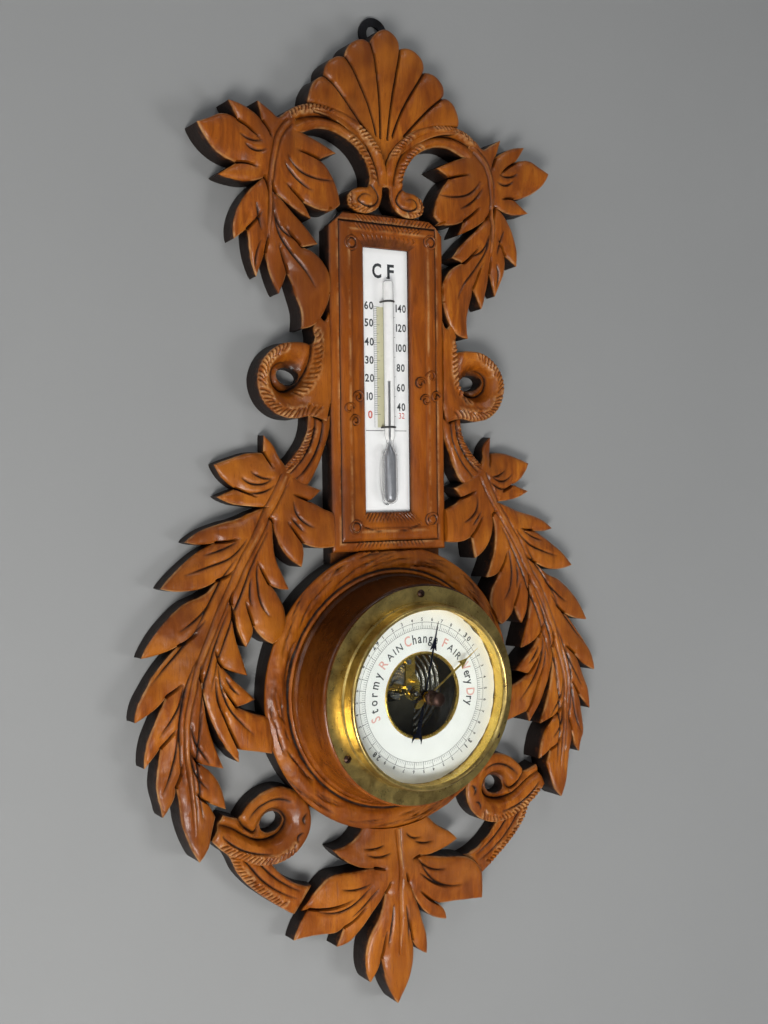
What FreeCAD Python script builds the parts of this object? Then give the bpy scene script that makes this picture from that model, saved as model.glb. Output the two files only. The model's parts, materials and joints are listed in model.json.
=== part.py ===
"""Carved wall barometer with a thermometer: every separate piece as one STEP file.

Frame: X to the right, Y into the wall, Z up, millimetres.
The origin is the centre of the hanging eye's hole, on the wall plane.
Outlines are written as (x, z) with z measured from the carving's mid-height;
h is the height of a point above the wall, towards the viewer.
"""
import FreeCAD
import Part
import math
import os

V = FreeCAD.Vector

# ---- driving dimensions, mm ----
CARVING_H = 600.0                  # shell top to leaf tip
EYE_Z = CARVING_H / 2 + 3.0        # hanging eye above the carving's mid-height
DIAL_Z = -101.7                    # dial axis, from mid-height
RING_R = 87.5                      # bark ring round the drum
RING_TOP = 20.0
CASE_R = 57.0                      # movement case, outside
CASE_T = 1.2
CASE_BACK = 8.0                    # back of the case above the wall
CASE_BORE = 57.6                   # hole in wood for the case
FLANGE_R = 65.1
FLANGE_H = 50.0                    # underside of the flange
FLANGE_T = 1.2
FLANGE_SCREW_R = 60.8
BASE_T = 1.6                       # base plate of the movement
DIAL_HOLE_R = 24.4
DIAL_H = 49.4                      # underside of the dial plate
CARD_R = 52.4
BEZEL_TOP = 62.3
GLASS_H = 58.1
GLASS_T = 2.0
GLASS_R = 53.3
WEATHER_ANGLE = 13.0               # rest angles of the hands, clockwise from the top
SET_ANGLE = 54.5
HAND_LEN = 44.7
HAND_H = 52.6
SET_HAND_H = 55.6
BOX_X = 40.5                       # thermometer frame, half width
BOX_TOP = 188.0
BOX_BOTTOM = -17.0
BOX_FRONT = 18.0
CORE_H = 10.0                      # board behind the thermometer plate
BOX_CORNER = 9.0                   # cut at the frame's top corners
WINDOW_X = 16.2
WINDOW_TOP = 168.5
WINDOW_BOTTOM = 7.0
TUBE_H = 16.0                      # thermometer tube's axis
TUBE_R = 3.25
BULB_R = 5.75
EYE_R = 5.0                        # hanging hole
EYE_OUT = 10.0
PLATE_T = 2.0
CAPSULE_R = 34.0
CAPSULE_BOTTOM = 13.0
CAPSULE_TOP = 22.0
SPRING_EDGE = -34.0                # main spring's flexing edge, below the dial axis
SPRING_H = 31.0
ROCKER_X = -14.0
ROCKER_H = 24.0
ROCKER_UP = 12.0                   # rocker shaft to chain
ROCKER_OUT = 5.0                   # rocker shaft to link
LINK_W = 14.0                      # link above the dial axis
RUN = 0.05                         # running clearance, radial

T = 1                              # marks a sharp corner in an outline


# ---- helpers ----
def point(x, z, h):
    return V(x, -h, z - EYE_Z)


def wire(points, h):
    """A closed wire: straight or splined runs between the marked corners."""
    pts = [(p[0], p[1], len(p) > 2) for p in points]
    first = next((i for i, p in enumerate(pts) if p[2]), None)
    if first is None:
        curve = Part.BSplineCurve()
        curve.interpolate([point(p[0], p[1], h) for p in pts], True)
        return Part.Wire([curve.toShape()])
    pts = pts[first:] + pts[:first] + [pts[first]]
    edges, run = [], [pts[0]]
    for p in pts[1:]:
        run.append(p)
        if not p[2]:
            continue
        vectors = [point(q[0], q[1], h) for q in run]
        if len(vectors) == 2:
            edges.append(Part.makeLine(*vectors))
        else:
            curve = Part.BSplineCurve()
            curve.interpolate(vectors)
            edges.append(curve.toShape())
        run = [p]
    return Part.Wire(edges)


def slab(points, low, high):
    face = Part.Face(wire(points, low))
    return face.extrude(V(0, low - high, 0))


def disc(x, z, radius, low, high, bore=0.0):
    body = Part.makeCylinder(radius, high - low, point(x, z, low), V(0, -1, 0))
    if bore:
        body = body.cut(Part.makeCylinder(bore, high - low, point(x, z, low), V(0, -1, 0)))
    return body


def box(x0, x1, z0, z1, low, high):
    return Part.makeBox(x1 - x0, high - low, z1 - z0, point(x0, z0, high))


def round_box(x0, x1, z0, z1, low, high, radius):
    body = box(x0, x1, z0, z1, low, high)
    edges = [e for e in body.Edges if abs(e.tangentAt(e.FirstParameter).y) > 0.9]
    return body.makeFillet(radius, edges)


def turned(profile, x=0.0, z=DIAL_Z):
    """Revolve (radius, height) points about an axis square to the wall."""
    pts = [V(x + r, -h, z - EYE_Z) for r, h in profile]
    face = Part.Face(Part.makePolygon(pts + [pts[0]]))
    return face.revolve(V(x, 0, z - EYE_Z), V(0, 1, 0), 360)


def rod(start, end, radius):
    axis = end - start
    return Part.makeCylinder(radius, axis.Length, start, axis)


def mirrored(shape):
    return shape.mirror(V(0, 0, 0), V(1, 0, 0))


def fuse(shapes):
    body = shapes[0].multiFuse(shapes[1:]) if len(shapes) > 1 else shapes[0]
    return body.removeSplitter()


def spread(points, steps=14):
    """Points along the spline through the given points."""
    curve = Part.BSplineCurve()
    curve.interpolate([V(x, z, 0) for x, z in points])
    return [(q.x, q.y) for q in curve.discretize(Number=steps)]


def strip(points, width_start, width_end, low, high, steps=14):
    """A tapering rib along a curve."""
    line = spread(points, steps)
    left, right = [], []
    for i, (x, z) in enumerate(line):
        a = line[max(i - 1, 0)]
        b = line[min(i + 1, len(line) - 1)]
        dx, dz = b[0] - a[0], b[1] - a[1]
        n = math.hypot(dx, dz)
        w = (width_start + (width_end - width_start) * i / (len(line) - 1)) / 2
        left.append((x - dz / n * w, z + dx / n * w))
        right.append((x + dz / n * w, z - dx / n * w))
    right.reverse()
    ends = [left[0] + (T,)] + left[1:-1] + [left[-1] + (T,), right[0] + (T,)]
    return slab(ends + right[1:-1] + [right[-1] + (T,)], low, high)


def export(name, shape):
    if isinstance(shape, list):
        shape = Part.makeCompound(shape)
    shape.exportStep(os.path.join("parts", name + ".step"))
    print(name, len(shape.Solids), shape.isValid())


# ---- the carved board ----
SHELL = [(0, 301, T), (6, 299), (10.5, 291.5, T), (18.5, 292), (27, 285), (28, 280, T), (34.5, 279),
         (42, 271.5), (42.3, 266.5, T), (47, 264.5), (52, 257.5), (53, 248), (50, 244, T),
         (36, 241.5), (28, 238), (19.5, 232.5), (13, 225.5), (8.5, 218), (3, 214, T), (0, 214, T)]
SHELL_LOBES = [(0, 291.5, 9.4), (19.5, 282.5, 9.4), (35, 268, 9.0), (44.5, 252.5, 7.8)]

ARCH = [(0, 214, T), (1.5, 222), (5, 229), (12, 236.5), (20, 242.5), (30, 247), (40, 249.5),
        (50, 249.5), (58, 247.5), (66, 243), (75, 235, T), (66, 228, T), (56, 233.5), (46, 236.5),
        (36, 235.5), (27, 232), (19, 226), (14, 219), (11.5, 212), (13, 206), (20, 203.5),
        (26, 199), (25, 192), (18, 188), (12, 184, T), (0, 184, T)]

UPPER_LEAF = [(66, 243), (73, 238), (78, 241), (86, 245.5, T), (82.5, 234, T), (92, 240),
              (104.5, 243, T), (98, 232.5, T), (110, 234.5), (117, 231), (124, 228, T),
              (118, 219), (109, 212.5), (98, 209.5, T), (110, 201.5), (100, 200), (90, 200.5),
              (82, 202.5, T), (90.5, 195), (97.5, 185), (101, 173), (100.5, 166, T),
              (91.5, 173, T), (90.5, 160), (85.5, 146, T), (80, 161, T), (77, 147),
              (72.5, 136.5, T), (66.5, 149.5, T), (62.5, 138), (59, 126), (59.5, 116.5, T),
              (51, 119), (44, 128), (38, 139), (38.5, 150), (47, 159), (58, 164.5, T),
              (48, 167, T), (57, 177), (66, 185), (75.5, 194.5, T), (66, 188), (52.5, 181.5, T),
              (58, 191.5, T), (50, 188), (39, 187.5), (33.5, 191.5, T), (35.5, 200), (40.5, 210),
              (47, 217, T), (36, 221.5, T), (50, 228), (60, 232, T)]

SIDE_SCROLL = [(38, 128, T), (47, 127, T), (51, 116), (60, 108), (72, 107), (83, 99), (88, 86),
               (84, 73), (75, 65.5), (64, 63.5), (54, 65), (43, 60, T), (38, 60, T)]

STEM = [(38, 72, T), (54, 68, T), (57, 52), (63, 43), (72, 32, T), (60, 20, T), (48, 22, T),
        (38, 22, T)]

LOWER_LEAF = [(66, 30, T), (73, 40), (76, 48), (81.5, 53.5, T), (81.5, 43, T), (92, 43), (103, 40),
              (113, 36.5, T), (108, 28.5), (99.5, 22.5, T), (112, 18, T), (103, 14), (94, 12.5),
              (82.5, 11.5, T), (89, 9.5), (101, 5), (113, 2), (123, -1.5), (132, -7.5, T),
              (123, -9.0), (113, -8.0, T), (124, -13), (134, -20), (142, -27), (147.5, -33, T),
              (137, -35), (125, -34), (114, -29.5, T), (123, -37.5), (134, -42), (144, -50),
              (153, -60), (159.5, -71, T), (150, -69.5), (138, -65, T), (148, -75), (157, -87),
              (163, -98), (164.5, -106, T), (155, -101), (146, -93, T), (153, -107), (158, -119),
              (159.5, -132, T), (149.5, -121, T), (151.5, -131), (153, -145), (150.5, -156),
              (149.5, -160.5, T), (145.5, -155), (142, -144, T), (140, -157), (138.5, -167),
              (135, -178), (130, -188, T), (125, -182), (122, -173), (119.5, -164, T),
              (123.5, -155.5, T), (113, -160.5, T), (114.5, -152), (117.5, -144), (122, -138),
              (128.5, -132.5, T), (114, -137, T), (118, -127), (122, -115), (125, -100),
              (126, -86, T), (123, -102), (118.5, -114), (113, -124), (104.5, -134.5, T),
              (104, -127.5, T), (92, -130), (84, -132, T), (82.5, -121), (86, -111), (94, -108),
              (105, -103, T), (94, -99.5, T), (101, -92.5), (108, -86), (114, -78.5, T),
              (106, -82.5), (98.5, -85, T), (101.5, -75.5), (105, -65), (107, -54),
              (107, -43, T), (105.5, -47), (104, -57), (99, -68.5, T), (95.5, -63), (94, -56, T),
              (89.5, -63), (82.5, -68, T), (75.5, -62), (74, -50), (78.5, -40), (83.5, -33, T),
              (78, -36), (71, -37, T), (75, -28.5), (78.5, -20), (80, -9), (79, 3, T),
              (77.5, -6), (74, -14), (62.5, -24, T), (61, -16), (61, -10, T), (53, -13),
              (45, -13.5), (38, -12.5, T), (38, -4, T), (38, 5), (48, 10.5), (55, 14.5, T),
              (48, 21, T), (55, 23.5)]

LOWER_SCROLL = [(103, -169, T), (113, -165, T), (119, -180, T), (112, -187), (100, -194),
                (88, -198.5), (75, -198), (65, -193), (58, -184), (56.5, -174), (60, -163.5),
                (69, -156.2), (79, -154), (88, -156), (96.5, -161.5)]

RIBBON = [(105, -178, T), (119, -180, T), (108, -190), (103, -201), (95, -211), (85, -219.5),
          (66, -233, T), (54, -218, T), (68, -212.5), (77.5, -204.5), (84, -196, T)]

BOTTOM_LEAF = [(0, -182, T), (-20, -181, T), (-30, -194.5), (-42, -197, T), (-35, -204),
               (-27, -209), (-14, -212, T), (-30, -212.5), (-45, -213.5), (-52, -219),
               (-60, -228), (-63, -230.5, T), (-57, -231, T), (-62, -236), (-68, -247.5, T),
               (-50, -247), (-40, -247.5), (-34.5, -245.5, T), (-40, -256.5, T), (-32, -255),
               (-25, -249), (-18, -241), (-7, -228, T), (-12, -243), (-18, -254), (-21, -266),
               (-20.5, -276), (-18, -282.5, T), (-14, -277), (-10, -268.5, T), (-8, -280),
               (-4, -291), (1.5, -300, T), (8, -289), (12, -277), (12.5, -262, T), (17, -269),
               (23, -273, T), (23, -262), (19, -250), (9, -224, T), (14, -235), (20, -244),
               (28, -250.5), (39, -254.5, T), (37, -248), (32.5, -243.5, T), (45, -244),
               (58, -245.5), (67.5, -246.5, T), (68, -238), (67.5, -230, T), (62, -222),
               (55, -217.5), (40, -214.5), (18, -209.5, T), (30, -209.5), (40, -207),
               (47, -204, T), (42, -199), (35, -195), (20, -181, T)]

LEAF_STEMS = [
    ([(66, 236), (73, 228), (77, 215), (78.5, 200), (79.5, 185), (79, 170)], 4.0, 1.5, 20.0),
    ([(71, 29), (84.5, 5), (99, -19), (113.5, -46), (126.5, -75), (135, -106), (134, -140),
      (131.5, -172)], 5.0, 2.0, 17.0),
    ([(98, 225), (90, 222), (84, 223)], 1.2, 2.0, 18.5),
    ([(68, 216), (60, 208), (50, 205), (38, 205)], 2.2, 1.2, 18.5),
    ([(78, 190), (65, 160), (52, 143)], 2.2, 1.2, 19.0),
    ([(97, -7), (120, -22), (133, -26)], 2.2, 1.2, 14.0),
    ([(120, -42), (138, -57)], 2.2, 1.2, 16.0),
    ([(124, -52), (142, -72), (155, -86)], 2.2, 1.2, 16.0),
    ([(137, -88), (146, -108), (151, -115)], 2.2, 1.2, 16.0),
    ([(116, -78), (110, -103), (96, -119)], 2.2, 1.2, 20.0),
    ([(90, -20), (89, -45), (84, -52)], 2.2, 1.2, 20.0),
    ([(66, 14), (60, 2), (54, -1)], 2.2, 1.2, 18.5),
    ([(97, 29), (88, 25), (79, 28)], 1.2, 2.0, 15.5),
]


def shell_half():
    """One half of the fluted shell: a flat base and rounded ribs that fan out."""
    pieces = []
    for x, z, radius in SHELL_LOBES:
        start = point(x * 0.05, 226 + x * 0.02, 10.6)
        end = point(x, z, 10.6)
        axis = end - start
        pieces.append(Part.makeCone(2.0, radius, axis.Length, start, axis))
        pieces.append(Part.makeSphere(radius, end))
    ribs = pieces[0].multiFuse(pieces[1:])
    return ribs.common(box(-12, 70, 215, 305, 9.0, 25.0))


def scroll_ribs():
    side = [(47, 122), (43.5, 105), (42.5, 88), (46, 74), (56, 66), (68, 65), (80, 70), (86, 83),
            (82, 97), (71, 104), (60, 102)]
    inner = [(60, 102), (53, 96), (55, 88), (62, 82), (70, 80), (75, 86), (74, 93), (68, 95)]
    low = [(115, -176), (103, -187), (88, -194), (74, -193.5), (63, -186), (60, -174), (66, -162),
           (78, -157), (90, -160), (97, -166)]
    low_inner = [(110, -172), (98, -179.5), (84, -187), (74, -184), (70, -176), (74, -169),
                 (82, -166)]
    return [strip(side, 3.0, 5.0, 14.0, 18.5, 30), strip(inner, 4.0, 2.5, 14.0, 18.0, 24),
            strip(low, 4.5, 4.0, 12.0, 17.0, 30), strip(low_inner, 4.0, 3.0, 12.0, 16.5, 24)]


def carved_half():
    """Everything on the right-hand side of the board, at its own carved height."""
    pieces = [
        slab(UPPER_LEAF, 0.0, 17.0),
        slab(SIDE_SCROLL, 0.0, 16.0),
        slab(STEM, 0.0, 15.0),
        slab(LOWER_LEAF, 0.0, 15.0),
        slab(LOWER_SCROLL, 0.0, 14.5),
        slab(RIBBON, 0.0, 13.0),
    ]
    for line, start, end, top in LEAF_STEMS:
        pieces.append(strip(line, start, end, 13.0, top))
    pieces += scroll_ribs()
    arch_out = [(3, 216), (8, 229), (20, 239), (36, 245.5), (52, 246), (66, 239)]
    arch_in = [(9, 214), (17, 228), (30, 236.5), (45, 240), (58, 237)]
    pieces.append(strip(arch_out, 2.5, 2.5, 16.0, 19.0, 20))
    pieces.append(strip(arch_in, 2.5, 2.0, 16.0, 18.5, 20))
    body = fuse(pieces)
    eye = disc(65, 86.5, 4.4, -1, 30).fuse(disc(81, -175, 3.6, -1, 30))
    return body.cut(eye)


def bark_ring():
    """Thick ring with radial bark gouges, round the instrument."""
    ring = turned([(CASE_BORE, 0), (RING_R, 0), (RING_R, 17.0), (RING_R - 3.0, RING_TOP),
                   (73.0, RING_TOP), (71.5, 18.5), (CASE_BORE, 18.5)])
    gouges = []
    for i in range(36):
        angle = math.radians(i * 10 + 4 * math.sin(i * 2.1))
        start = V(74.5 * math.sin(angle), -RING_TOP - 0.6, DIAL_Z - EYE_Z + 74.5 * math.cos(angle))
        end = V(92 * math.sin(angle + 0.03), -RING_TOP - 0.2,
                DIAL_Z - EYE_Z + 92 * math.cos(angle + 0.03))
        gouges.append(rod(start, end, 1.6))
    return ring.cut(Part.makeCompound(gouges))


def carved_frame():
    half = carved_half()
    arch = slab(ARCH, 0.0, 17.0)
    base = slab(SHELL, 0.0, 12.0)
    ribs = shell_half()
    leaf = slab(BOTTOM_LEAF, 0.0, 16.0)
    spine = strip([(1, -188), (2, -230), (2, -285)], 9.0, 2.0, 12.0, 21.0)
    veins = []
    for line in ([(-52, -233), (-28, -231), (-12, -217)], [(-30, -239), (-13, -225), (-6, -212)],
                 [(38, -233), (17, -220), (8, -208)], [(50, -234), (28, -227), (10, -206)]):
        veins.append(strip(line, 1.5, 3.0, 12.0, 18.0))
    core = slab([(39, -40, T), (39, 178, T), (29.5, 186.5, T), (27, 190, T), (-27, 190, T),
                 (-29.5, 186.5, T), (-39, 178, T), (-39, -40, T)], 0.0, CORE_H)
    body = half.multiFuse([mirrored(half), arch, mirrored(arch), base, mirrored(base), ribs,
                           mirrored(ribs), leaf, spine, core] + veins)
    body = body.cut(disc(0, DIAL_Z, RING_R - 1.0, -1, 40))
    body = body.fuse(bark_ring())
    room = box(-BOX_X, BOX_X, BOX_BOTTOM, BOX_TOP, CORE_H, 40)
    bulb = round_box(-6.2, 6.2, 10.5, 47.5, 9.0, 20, 6.0)
    pocket = round_box(-8.05, 8.05, EYE_Z - 42.05, EYE_Z + 20, -1, PLATE_T + 0.05, 3.0)
    relief = disc(0, EYE_Z, 7.0, -1, 12).fuse(disc(0, EYE_Z, EYE_OUT + 0.05, -1, PLATE_T + 0.05))
    holes = [disc(0, EYE_Z - d, 1.5, -1, 10.5) for d in (22, 36)]
    side = [disc(x, 190.5, 1.6, -1, 30) for x in (-4, 4)]
    return body.cut(Part.makeCompound([room, bulb, pocket, relief] + holes + side)).removeSplitter()


# ---- other wood ----
def thermometer_frame():
    """Moulded frame: outer strip, raised bead, splay down to the opening."""
    c, x = BOX_CORNER, BOX_X
    outer = slab([(-x, BOX_BOTTOM, T), (x, BOX_BOTTOM, T), (x, BOX_TOP - c, T),
                  (x - c - 1.0, BOX_TOP, T), (c + 1.0 - x, BOX_TOP, T), (-x, BOX_TOP - c, T)],
                 CORE_H, BOX_FRONT - 2.0)
    bead = round_box(-29.5, 29.5, -5.0, 181.0, CORE_H, BOX_FRONT, 2.0)
    body = outer.fuse(bead)
    rebate = box(-20.2, 20.2, 4.8, 176.2, CORE_H, 12.05)
    opening = box(-WINDOW_X, WINDOW_X, WINDOW_BOTTOM, WINDOW_TOP, CORE_H, 30)
    low = Part.makePolygon([point(x, z, 14.8) for x, z in (
        (-16.3, 6.9), (16.3, 6.9), (16.3, 168.6), (-16.3, 168.6), (-16.3, 6.9))])
    high = Part.makePolygon([point(x, z, 18.4) for x, z in (
        (-25.0, 0.0), (25.0, 0.0), (25.0, 176.0), (-25.0, 176.0), (-25.0, 0.0))])
    cove = Part.makeLoft([low, high], True, True)
    groove = box(-32.5, 32.5, -8.0, 184.0, 14.4, 30).cut(box(-30.5, 30.5, -6, 182, 14, 30))
    body = body.cut(Part.makeCompound([rebate, opening, cove, groove]))
    details = []
    for sx in (-1, 1):
        for z in (177, -1):
            details.append(Part.makeSphere(3.4, point(sx * 26.5, z, BOX_FRONT - 1.2)))
        details.append(strip([(sx * 25, 71), (sx * 29, 80), (sx * 24.5, 85), (sx * 28, 94)],
                             2.6, 2.6, 16.5, 19.5))
    return body.multiFuse(details).removeSplitter()


def drum_ring():
    return turned([(CASE_BORE, 18.5), (71.0, 18.5), (71.3, 20.5), (70.4, 22.0), (69.2, 23.0),
                   (68.6, 26.0), (67.6, 32.0), (66.9, 40.0), (66.7, 46.0), (66.4, 48.6),
                   (65.6, 49.6), (64.6, 50.0), (CASE_BORE, 50.0)]).cut(
        Part.makeCompound([disc(x, z, 1.0, 42.0, 50.1) for x, z in flange_screw_spots()]))


# ---- hanging ----
def hanger_plate():
    eye = disc(0, EYE_Z, EYE_OUT, 0.0, PLATE_T)
    tail = round_box(-8, 8, EYE_Z - 42, EYE_Z - 2, 0.0, PLATE_T, 3.0)
    body = eye.fuse(tail).cut(disc(0, EYE_Z, EYE_R, -1, 5))
    for d in (22, 36):
        body = body.cut(Part.makeCone(3.1, 1.55, 1.6, point(0, EYE_Z - d, 0), V(0, -1, 0)))
        body = body.cut(disc(0, EYE_Z - d, 1.55, -1, 5))
    return body.removeSplitter()


def hanger_screws():
    screws = []
    for d in (22, 36):
        head = Part.makeCone(3.0, 1.45, 1.55, point(0, EYE_Z - d, 0), V(0, -1, 0))
        shank = disc(0, EYE_Z - d, 1.45, 1.0, 9.0)
        tip = Part.makeCone(1.45, 0.2, 1.4, point(0, EYE_Z - d, 9.0), V(0, -1, 0))
        slot = box(-3.2, 3.2, EYE_Z - d - 0.35, EYE_Z - d + 0.35, -0.1, 0.8)
        screws.append(head.fuse(shank).fuse(tip).cut(slot).removeSplitter())
    return screws


# ---- thermometer ----
def thermometer_plate():
    body = box(-20.1, 20.1, 4.9, 176.1, CORE_H, 12.0)
    return body.cut(round_box(-4.3, 4.3, 11.0, 50.3, 9, 13, 4.2))


def tube_bore(radius, bulb, grow):
    """Tube with its bulb: a revolved outline about the tube's own axis."""
    profile = [(0, 11.5 + grow), (bulb * 0.62, 12.2 + grow), (bulb * 0.9, 14.2 + grow),
               (bulb, 17.0 + grow), (bulb, 43.0 - grow * 0.4), (bulb * 0.86, 46.2 - grow * 0.4),
               (radius * 1.15, 50.2), (radius, 53.0)]
    return profile


def revolve_up(profile):
    pts = [V(r, -TUBE_H, z - EYE_Z) for r, z in profile]
    face = Part.Face(Part.makePolygon(pts + [pts[0]]))
    return face.revolve(V(0, -TUBE_H, 0), V(0, 0, 1), 360)


def thermometer_tube():
    shell = tube_bore(TUBE_R, BULB_R, 0.0) + [(TUBE_R, 147.0), (TUBE_R * 0.75, 148.6), (0, 149.0)]
    cavity = tube_bore(0.6, BULB_R - 0.9, 0.9) + [(0.6, 146.0), (0, 146.0)]
    return revolve_up(shell).cut(revolve_up(cavity))


def mercury():
    fill = tube_bore(0.57, BULB_R - 0.93, 0.93) + [(0.57, 87.0), (0, 87.3)]
    return revolve_up(fill)


def tube_clips():
    clips = []
    for z in (136, 59):
        centre = point(0, z, TUBE_H)
        loop = Part.makeTorus(TUBE_R + 0.55, 0.5, centre, V(0, 0, 1))
        loop = loop.common(box(-5, 5, z - 1, z + 1, TUBE_H, TUBE_H + 5))
        legs = [rod(point(s * (TUBE_R + 0.55), z, 12.0), point(s * (TUBE_R + 0.55), z, TUBE_H), 0.5)
                for s in (-1, 1)]
        clips.append(fuse([loop] + legs))
    return clips


# ---- instrument outside ----
def flange_screw_spots():
    spots = []
    for angle in (-1, 119, -121):
        a = math.radians(angle)
        spots.append((FLANGE_SCREW_R * math.sin(a), DIAL_Z + FLANGE_SCREW_R * math.cos(a)))
    return spots


def movement_case():
    """Cup with a wide flange and an inner ledge that carries the dial."""
    inner = CASE_R - CASE_T
    body = turned([(0, CASE_BACK), (CASE_R - 1.5, CASE_BACK), (CASE_R, CASE_BACK + 1.5),
                   (CASE_R, FLANGE_H), (FLANGE_R, FLANGE_H), (FLANGE_R, FLANGE_H + FLANGE_T),
                   (53.4, FLANGE_H + FLANGE_T), (53.4, DIAL_H), (48.0, DIAL_H),
                   (48.0, DIAL_H - 1.0), (inner, DIAL_H - 1.0), (inner, CASE_BACK + CASE_T),
                   (0, CASE_BACK + CASE_T)])
    holes = [disc(x, z, 1.35, 45, 55) for x, z in flange_screw_spots()]
    holes += [disc(x, z, 1.05, 0, 15) for x, z in base_screw_spots()]
    holes.append(disc(-11, DIAL_Z - 37.5, 3.2, 0, CASE_BACK + CASE_T))
    return body.cut(Part.makeCompound(holes))


def flange_screws():
    screws = []
    top = FLANGE_H + FLANGE_T
    for i, (x, z) in enumerate(flange_screw_spots()):
        head = disc(x, z, 2.3, top, top + 0.6)
        dome = Part.makeSphere(3.2, point(x, z, top - 1.62)).common(disc(x, z, 2.3, top, top + 3))
        shank = disc(x, z, 1.25, 50.0, top).fuse(disc(x, z, 0.97, 43.0, 50.0))
        slot = box(-3, 3, z - 0.3, z + 0.3, top + 0.7, top + 4)
        slot.translate(V(x, 0, 0))
        slot.rotate(point(x, z, 0), V(0, 1, 0), 35 + 50 * i)
        screws.append(head.fuse(dome).fuse(shank).cut(slot).removeSplitter())
    return screws


def bezel():
    return turned([(53.5, 51.2), (55.9, 51.2), (56.1, 51.9), (55.5, 52.8), (55.0, 53.4),
                   (54.9, 55.0), (54.8, 59.8), (54.6, 61.2), (54.0, 62.0), (53.4, BEZEL_TOP),
                   (52.7, 62.0), (51.7, 60.7), (51.7, 60.2), (53.5, 60.2)])


def dial_glass():
    glass = disc(0, DIAL_Z, GLASS_R, GLASS_H, GLASS_H + GLASS_T, 1.6)
    return glass


def reflector_ring():
    return turned([(52.5, 50.2), (53.3, 50.2), (53.35, 57.0), (53.4, 58.0), (53.0, 58.0),
                   (52.8, 56.0), (52.6, 52.5), (52.5, 51.4)])


def dial_plate():
    return turned([(DIAL_HOLE_R, DIAL_H), (53.2, DIAL_H), (53.2, DIAL_H + 0.8),
                   (26.1, DIAL_H + 0.8), (25.9, DIAL_H + 1.3), (25.3, DIAL_H + 1.5),
                   (24.7, DIAL_H + 1.3)])


def dial_card():
    return disc(0, DIAL_Z, CARD_R, DIAL_H + 0.8, DIAL_H + 1.1, 26.2)


def about_dial(shape, angle):
    """Turn a hand clockwise, as seen from the front, about the dial axis."""
    shape.rotate(point(0, DIAL_Z, 0), V(0, 1, 0), angle)
    return shape


def hand_slab(points, low, high):
    return slab([(p[0], p[1] + DIAL_Z) + tuple(p[2:]) for p in points], low, high)


def weather_hand():
    """Arrow-headed pointer with a flared, crescent-ended tail."""
    right = [(0, HAND_LEN, T), (0.35, 34.8, T), (2.2, 27.2, T), (0.45, 28.9, T), (0.5, 3.0, T)]
    tail = [(0.55, -3.0, T), (1.5, -22.4, T), (2.6, -23.4), (3.3, -26.0), (3.2, -28.4, T),
            (1.9, -25.7), (0, -25.0, T)]
    half = right + tail
    left = [(-p[0],) + tuple(p[1:]) for p in reversed(half[1:-1])]
    body = hand_slab(half + left, HAND_H, HAND_H + 0.6)
    hub = disc(0, DIAL_Z, 3.2, HAND_H, HAND_H + 0.9)
    return about_dial(body.fuse(hub).cut(disc(0, DIAL_Z, 0.95, 50, 56)), WEATHER_ANGLE)


def set_hand():
    right = [(0, 44.6, T), (0.35, 34.6, T), (2.8, 28.4, T), (0.6, 29.6, T), (0.5, 3.0, T)]
    tail = [(0.6, -3.0, T), (1.5, -9.0), (0, -11.0, T)]
    half = right + tail
    left = [(-p[0],) + tuple(p[1:]) for p in reversed(half[1:-1])]
    body = hand_slab(half + left, SET_HAND_H, SET_HAND_H + 0.5)
    hub = disc(0, DIAL_Z, 3.2, SET_HAND_H, SET_HAND_H + 0.5)
    return about_dial(body.fuse(hub).cut(disc(0, DIAL_Z, 1.2, 50, 60)), SET_ANGLE)


def set_knob():
    """Knob, skirt and the stem that passes through the glass."""
    profile = [(0, 55.4), (1.2, 55.4), (1.2, 56.4), (1.55, 56.4), (1.55, 60.15), (4.6, 60.15),
               (4.6, 60.7), (4.2, 61.4), (2.9, 61.9), (2.7, 62.6), (3.6, 63.2), (4.1, 64.2),
               (4.15, 67.6), (3.8, 69.0), (2.9, 69.8), (1.5, 70.2), (0, 70.3)]
    body = turned(profile)
    notches = []
    for i in range(24):
        a = math.radians(i * 15)
        x, z = 4.35 * math.sin(a), DIAL_Z + 4.35 * math.cos(a)
        notches.append(disc(x, z, 0.32, 64.0, 68.4))
    return body.cut(Part.makeCompound(notches))


def set_washer():
    return disc(0, DIAL_Z, 3.6, 57.35, 58.0, 1.56)


# ---- movement ----
def base_screw_spots():
    spots = []
    for angle in (30, 150, 270):
        a = math.radians(angle)
        spots.append((44.0 * math.sin(a), DIAL_Z + 44.0 * math.cos(a)))
    return spots


def base_plate():
    low = CASE_BACK + CASE_T
    body = disc(0, DIAL_Z, 50.0, low, low + BASE_T, 4.0)
    holes = [disc(x, z, 1.1, 0, 15) for x, z in base_screw_spots()]
    holes.append(disc(-11, DIAL_Z - 37.5, 2.0 + RUN, 0, 15))
    return body.cut(Part.makeCompound(holes))


def base_screws():
    low = CASE_BACK + CASE_T + BASE_T
    screws = []
    for x, z in base_screw_spots():
        head = disc(x, z, 2.6, low, low + 1.5)
        slot = box(x - 3, x + 3, z - 0.3, z + 0.3, low + 0.8, low + 2)
        shank = disc(x, z, 1.0, CASE_BACK + 0.1, low)
        screws.append(head.fuse(shank).cut(slot).removeSplitter())
    return screws


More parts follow.
